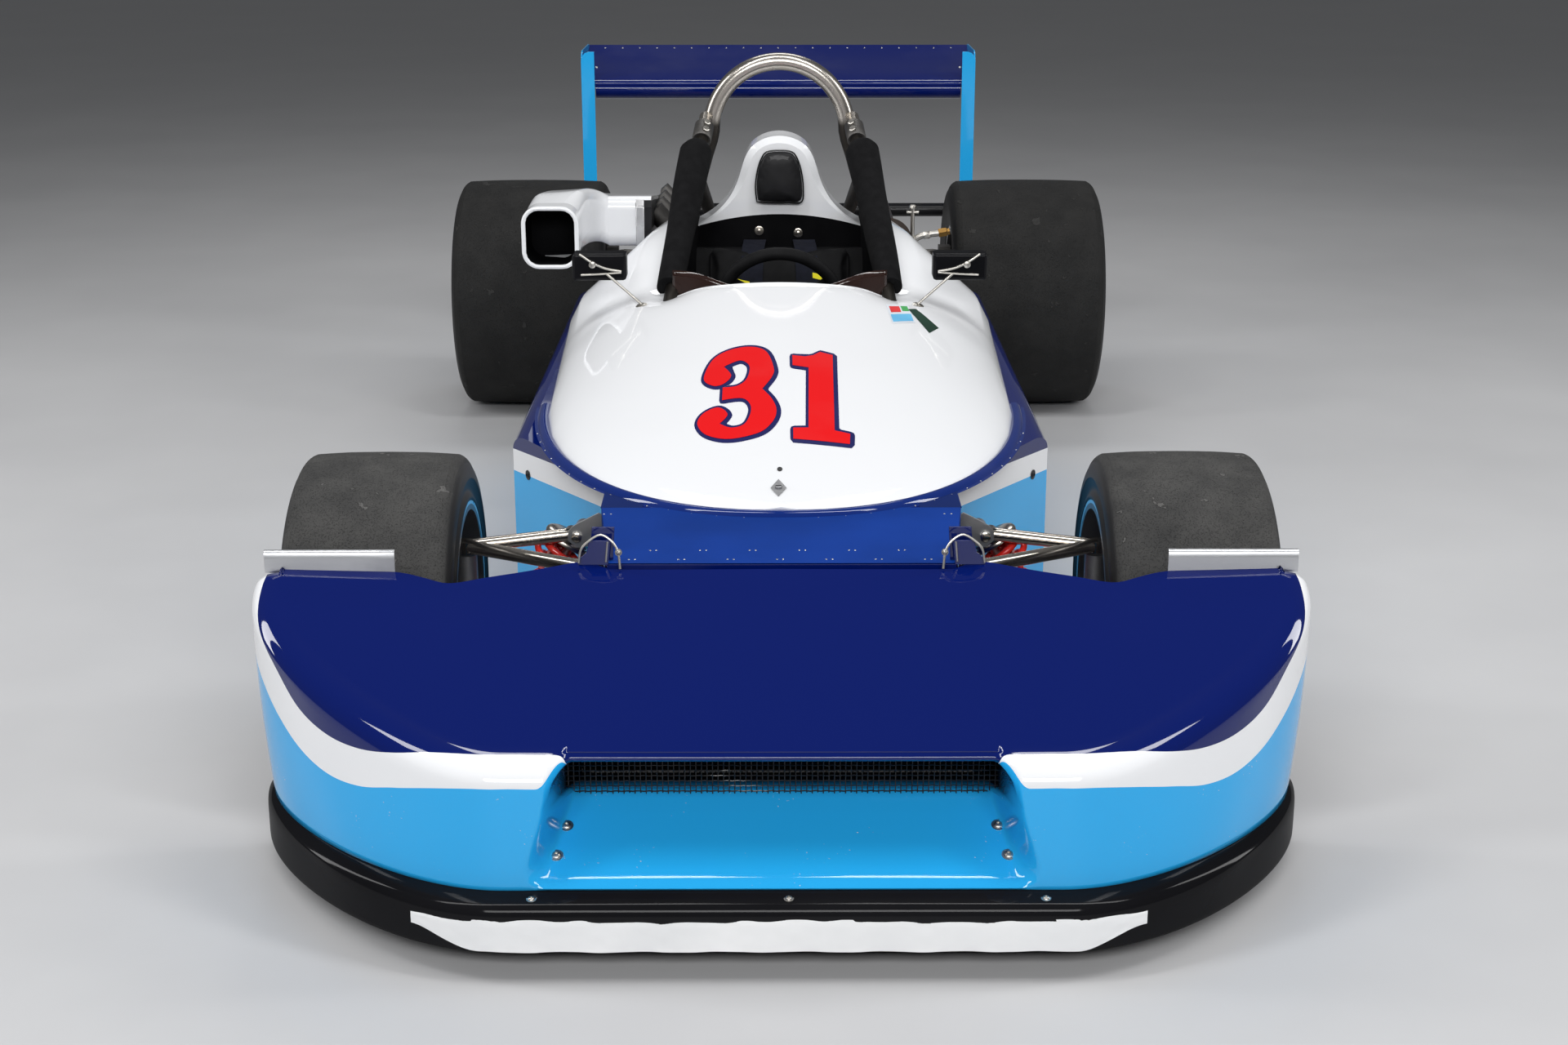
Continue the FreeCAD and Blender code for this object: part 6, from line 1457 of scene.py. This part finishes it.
def strap(form, path, width, thick=2.2):
    """A flat band along a path, as level across the car as the path lets it be."""
    path = bend(path, 8)
    rows = []
    for i, place in enumerate(path):
        run = path[min(i + 1, len(path) - 1)] - path[max(i - 1, 0)]
        run /= np.linalg.norm(run)
        flat = np.array([1.0, 0, 0]) - run * run[0]
        flat /= np.linalg.norm(flat)
        up = np.cross(flat, run)
        section = ((-1, 0), (1, 0), (1, thick), (-1, thick))
        rows.append([place + flat * a * width / 2 + up * b for a, b in section])
    return form.grid(rows, ring=True, shut=True)


straps = Form()
for side in (-1, 1):
    strap(straps, [(52 * side, 1392, 612), (54 * side, 1374, 611), on_back(58 * side, 520, 30),
                   on_back(62 * side, 380, 27), on_back(60 * side, 220, 27), on_back(46 * side, 90, 30),
                   (16 * side, 1022, 184)], SHOULDER_WIDE)
    strap(straps, [(164 * side, 1085, 170), (120 * side, 1062, 176), (60 * side, 1030, 182),
                   (14 * side, 1012, 180)], LAP_WIDE)
straps.make("harness_straps", webbing, smooth=40)
buckle = Form().turned([(0, 27), (10, 27), (13, 24), (14, 18), (14, 0.01)], BUCKLE, BUCKLE_UP, 32)
buckle.make("harness_buckle", bright)
labels = Form()
for middle, reach in ((-77, 464), (84, 478)):
    labels.grid([[on_back(middle + a * LABEL_HALF, reach + b * 6 - a * 3, depth)
                  for a, b in ((-1, -1), (1, -1), (1, 1), (-1, 1))] for depth in (28.5, 33)], ring=True, shut=True)
labels.make("yellow_marks", yellow_label)
print("straps laid")

# %% [markdown]
# ## Intake mouth
# The airbox is a white moulding with a rolled rim, clamped to the inlets by an alloy flange. Its inside
# is a near-black sheet of painted shade. The rim and that sheet follow the mouth's own outline, which
# is read from the carried solid, so they fit whatever its corners are.

# %% Airbox rim, painted shade inside the mouth, and flange
low, high = drawn("intake_airbox")
MOUTH_Y, RIM_IN, RIM_ROUND = low.y, 3.0, 4.6
MOUTH_SHADE_RINGS = ((5.6, 3), (7, 12), (8, 110), (60, 112))


def ring_round(spots, steps=72):
    """The outer outline of flat points, in order round their middle, with that middle and half size."""
    spots = np.array(sorted({(round(a, 2), round(b, 2)) for a, b in spots}))
    centre, half_size = (spots.min(0) + spots.max(0)) / 2, (spots.max(0) - spots.min(0)) / 2
    reach, angle = np.linalg.norm(spots - centre, axis=1), np.arctan2(*(spots - centre).T[::-1])
    picked = []
    for way in np.linspace(-math.pi, math.pi, steps, endpoint=False):
        near = np.abs((angle - way + math.pi) % math.tau - math.pi) < 0.16
        if near.any():
            spot = spots[np.argmax(np.where(near, reach, 0))]
            if not picked or np.linalg.norm(spot - picked[-1]) > 0.5:
                picked.append(spot)
    return np.array(picked), centre, half_size


def resized(ring, margin):
    """A ring_round outline, wider by a margin on each side."""
    line, middle, half = ring
    return middle + (line - middle) * (1 + margin / half)


shell = nodes["intake_airbox"].data.copy()
places = [on_drawing(vert.co) for vert in shell.vertices]
mouth = ring_round([(x, z) for x, y, z in places if abs(y - MOUTH_Y) < 0.6])
# The rings of the near-black sheet inside the mouth, which is painted shade.
rows = [[(x, MOUTH_Y + back, z) for x, z in resized(mouth, -inset)] for inset, back in MOUTH_SHADE_RINGS]
mouth_shade = Form().grid(rows, ring=True)
mouth_shade.make("airbox_shade_sheet", black_and_painted_shade, smooth=50)
rim = Form().tube([(x, MOUTH_Y + 1.5, z) for x, z in resized(mouth, -RIM_IN)], RIM_ROUND, 12, ring=True)
rim.make("airbox_rim", white_paint, smooth=60)
print("mouth outline points:", len(mouth[0]))

# %% [markdown]
# Behind the bend the plenum gets lower towards the last cylinder, because less air has to pass
# there. The carried solid's own points are taken over and lowered by their distance from the mouth.

# %% Airbox shell
TAPER_START, TAPER_END, TAPER_LEFT = 1405.0, 1985.0, 0.36
FLANGE_PARTS = (("airbox_flange", -319, -300, 6, bright, 2), ("airbox_gasket", -300, -284, 3, satin_black, 0))
for vert, (x, y, z) in zip(shell.vertices, places):
    vert.co = at(x, y, low.z + (z - low.z) * np.interp(y, (TAPER_START, TAPER_END), (1, TAPER_LEFT)))
airbox = bpy.data.objects.new("airbox_shell", shell)
bpy.context.scene.collection.objects.link(airbox)
dress(airbox, white_paint, CRISP)
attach(airbox, "chassis")
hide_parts("intake_airbox")
places = [on_drawing(vert.co) for vert in shell.vertices]
inner_end = ring_round([(y, z) for x, y, z in places if abs(x - high.x) < 1])
for name, outer, inner, reach, finish, bevel in FLANGE_PARTS:
    rows = [[(x, y, z) for y, z in resized(inner_end, reach)] for x in (outer, inner)]
    Form().grid(rows, ring=True, shut=True).make(name, finish, bevel=bevel)
print("airbox lowered to", TAPER_LEFT)

# %% [markdown]
# ## Mirrors
# Each mirror stands on a plated arm that is bent from strip, stiffened by a thin rod, and on a
# strut with a small foot on the surround.

# %% Mirror arms
arms = Form()
arms.tube(bend([(400, 983, 652.7), (374, 980, 635.7), (347, 982, 623.7), (317, 984, 617.7)], 5), 2.6, 10)
arms.tube([(398, 984, 610.7), (357, 984, 612.7), (317, 984, 615.7)], 2.2, 10)
arms.tube([(347, 983, 613.7), (276, 960, 556)], 2.8, 10)
arms.turned([(0, 7), (4, 7), (5, 5.5), (5, 0.01)], (374, 979, 632.7), (0, -1, 0), 16)
arms.turned([(0, 12), (2, 12), (3, 10), (3, 0.01)], (276, 958, 552), (0.25, -0.3, 0.92), 20)
arms.mirrored().make("mirror_arms", steel, smooth=50)
mirror_low, mirror_high = drawn("mirrors")
housings = Form().block((307, mirror_low.y, 598.5), (416, mirror_high.y, 653.5))
housings.mirrored().make("mirror_housings", black_gloss, stands_for=["mirrors"], slot="mirror_black", bevel=7)
glasses = Form().block((313.5, mirror_high.y, 604), (409.5, mirror_high.y + 1.2, 648))
glasses.mirrored().make("mirror_glasses", bright)

# %% [markdown]
# ## Wing
# The end plates are folded from sheet: their front edge is turned inward, which stiffens it and
# shows as a second narrow face. The wing's own front edge is a thick rolled skin, and a row of
# rivets closes the wing near its rear edge.

# %% Wing details
FOLD, FOLD_THICK, FOLD_FOOT, LIP_HALF, RIVET_LINE = 37, 2.4, 24, 511, 3094
LIP_ROUND = [(2874, 809), (2862, 804), (2854, 796), (2851, 787), (2852, 779), (2857, 769), (2866, 761),
             (2882, 756), (2930, 762), (3010, 790)]
plate_low, plate_high = drawn("wing_endplates")
out, top, foot = plate_high.x, plate_high.z, plate_low.z + FOLD_FOOT
fold = plate(Form(), [(out, foot), (out, top - 26), (out - 3, top - 14), (out - 11, top - 5), (out - 22, top - 1),
                      (out - FOLD, top - 1), (out - FOLD, foot)], plate_low.y - FOLD_THICK, FOLD_THICK)
fold.mirrored().make("endplate_folds", sky_paint, bevel=0.6)
wing_lip = Form().grid([[(x, y, z) for y, z in LIP_ROUND] for x in np.linspace(-LIP_HALF, LIP_HALF, 12)])
wing_lip.make("wing_lip", navy_paint, smooth=60)
wing_rivets = Form()
WING_RIVETS = [(x, RIVET_LINE, 2.6) for x in np.arange(-500, 501, 50.0)] + [(-516, 2955, 5.0), (516, 2955, 5.0)]
for x, y, size in WING_RIVETS:
    rivet(wing_rivets, *landed(nodes["rear_wing"], x, y), size)
wing_rivets.make("wing_rivets", steel, smooth=60)
plate_bolts = Form()
for y, z in ((2905, 815), (2985, 842), (3060, 866), (2900, 440), (2930, 425)):
    screw(plate_bolts, (plate_high.x, y, z), (1, 0, 0), 5, 3)
plate_bolts.mirrored().make("endplate_bolts", steel)

# %% [markdown]
# ## Fittings on the engine
# On the car's left a plated pipe comes off the bell housing, passes under the exhaust and ends in
# a brass union. Its end is what shows between the foam sleeve and the rear tyre.

# %% Engine fittings
PIPE_Y, PIPE_END, TEE_X, TEE_TOP = 2120.0, (1, 0, 0.17), 336, 570
PIPE = [(150, PIPE_Y, 430), (262, PIPE_Y, 432), (322, PIPE_Y, 455), (350, PIPE_Y, 493), (410, PIPE_Y, 505)]
fittings = Form().tube(bend(PIPE, 6), 8, 16)
fittings.turned([(0, 11), (14, 11), (16, 9), (16, 0.01)], (364, PIPE_Y, 497), PIPE_END, 6)
fittings.tube([(TEE_X, PIPE_Y, 472), (TEE_X, PIPE_Y, TEE_TOP)], 5, 12)
fittings.turned([(0, 9), (8, 9), (10, 7), (10, 0.01)], (TEE_X, PIPE_Y, TEE_TOP - 5), (0, 0, 1), 6)
fittings.tube([(TEE_X - 15, PIPE_Y, TEE_TOP - 14), (TEE_X + 15, PIPE_Y, TEE_TOP - 14)], 4, 12)
fittings.make("engine_fittings", steel, smooth=50)
union = Form().turned([(0, 12), (20, 12), (22, 9), (28, 9), (28, 0.01)], (402, PIPE_Y, 503.5), PIPE_END, 6)
union.make("brass_union", brass)
print("pipe laid at y", PIPE_Y)

# %% [markdown]
# ## Front suspension trim
# The coil springs sit in plated seats, and the upper wishbone is held to the tub by a triangular
# plate with one large bolt. The plate stands in front of the arm, so it is what the eye finds first.

# %% Spring seats and plates
SPRING_AXIS = np.array([140.0, 0, -210.0]) / math.hypot(140, 210)
SPRING_TOP, COIL_TURNS, COIL_PITCH, COIL_ROUND, COIL_WIRE = np.array([348.0, 56.0, 352.0]), 2.1, 20, 33.5, 5.6
PLATE_Y, PLATE_THICK = 8, 3
ARM_PLATE = [(335, 386), (322, 394), (292, 409), (284, 404), (284, 372), (300, 357), (314, 352), (329, 350),
             (342, 362), (342, 377)]
plates = plate(Form(), ARM_PLATE, PLATE_Y, PLATE_THICK).block((284, 11, 352), (312, 74, 360))
SPRING_SEAT = [(-6, 12), (-6, 30), (-3, 36), (0, 38), (4, 38), (5, 36), (5, 12)]
seats = Form().turned(SPRING_SEAT, SPRING_TOP, SPRING_AXIS, 40)
seats.turned([(0, 9), (5, 9), (6, 7.5), (6, 0.01)], (328, PLATE_Y, 369), (0, -1, 0), 6)
ahead, aside = np.array([0, 1.0, 0]), np.cross(SPRING_AXIS, (0, 1.0, 0))
rings = Form().tube([SPRING_TOP + SPRING_AXIS * (11 + COIL_PITCH * a / math.tau)
                     + COIL_ROUND * (math.cos(a) * ahead + math.sin(a) * aside)
                     for a in np.linspace(0, COIL_TURNS * math.tau, 90)], COIL_WIRE, 10)
plates.mirrored().make("arm_plates", sheet_metal, stands_for=["front_brackets"], slot="steel_parts", bevel=0.6)
seats.mirrored().make("spring_seats", nickel, smooth=40)
rings.mirrored().make("top_coils", spring_red, smooth=60)
print("suspension trim laid")

# %% [markdown]
# ## Stage
# The car is shown from where the photographer stood: in front, above head height and looking
# slightly down. The floor is pale and the light comes from large soft panels overhead, in front
# and at both sides, because curved paint is read by the long highlights that they leave on it.

# %% Camera
EYE = (-8.7, -3322.9, 1419.4)
LOOK_DOWN, LOOK_SIDE = 0.299, -0.004
LENS = 49.93
lens = bpy.data.cameras.new("camera")
lens.lens, lens.sensor_width = LENS, 36.0
camera = bpy.data.objects.new("camera", lens)
camera.location = at(*EYE)
camera.rotation_euler = (math.pi / 2 - LOOK_DOWN, 0, LOOK_SIDE)
bpy.context.scene.collection.objects.link(camera)
bpy.context.scene.camera = camera

# %% Floor and light
FLOOR_HALF = 45000.0


def floor_finish():
    """Pale sealed concrete: soft clouds and a faint shine."""
    f = Finish("pale floor")
    clouds = f.noise(900, 5, 0.6)
    tint = f.mix(clouds, (0.50, 0.50, 0.51), (0.60, 0.60, 0.605))
    return f.done(Base_Color=tint, Roughness=clouds * 0.25 + 0.42, Normal=f.bump(f.noise(30, 4), 0.15))


floor = Form().grid([[(x, y, 0) for x in (-FLOOR_HALF, FLOOR_HALF)] for y in (-FLOOR_HALF, FLOOR_HALF)])
floor = floor.make("floor", floor_finish())
floor.parent = None


def panel(name, place, aim, wide, high, power):
    """A soft light panel that faces a point."""
    lamp = bpy.data.lights.new(name, "AREA")
    lamp.shape, lamp.size, lamp.size_y, lamp.energy = "RECTANGLE", wide * MM, high * MM, power
    holder = bpy.data.objects.new(name, lamp)
    holder.location = at(*place)
    holder.rotation_euler = (at(*aim) - at(*place)).to_track_quat("-Z", "Y").to_euler()
    bpy.context.scene.collection.objects.link(holder)
    return holder


panels = [
    panel("left strip", (-1500, -300, 4600), (-300, 400, 0), 500, 3200, 58),
    panel("right strip", (1500, -300, 4600), (300, 400, 0), 500, 3200, 58),
    panel("front panel", (0, -5200, 3300), (0, 0, 300), 4200, 1400, 215),
    panel("left side panel", (-4600, 600, 2600), (0, 600, 300), 700, 3600, 85),
    panel("right side panel", (4600, 600, 2600), (0, 600, 300), 700, 3600, 85),
    panel("rear panel", (0, 4600, 4600), (0, 2400, 500), 3000, 900, 50),
]
world = bpy.data.worlds.new("studio")
world.use_nodes = True
world.node_tree.nodes["Background"].inputs["Color"].default_value = (0.95, 0.97, 1.0, 1)
world.node_tree.nodes["Background"].inputs["Strength"].default_value = 0.12
bpy.context.scene.world = world
bpy.context.scene.view_settings.view_transform = "Standard"
floor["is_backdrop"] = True
print("light panels:", len(panels))

# %% [markdown]
# ## Finish
# The boxes of the dressed car and of its solids are both taken, and the growth of each side of
# the box is printed. The dressed car may be only a little larger than its solids.

# %% Finish
box_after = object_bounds()
before, after = ((*low, *high) for low, high in (box_before, box_after))
print("growth of the box in mm:", [round((b - a) / MM, 1) for a, b in zip(before, after)])
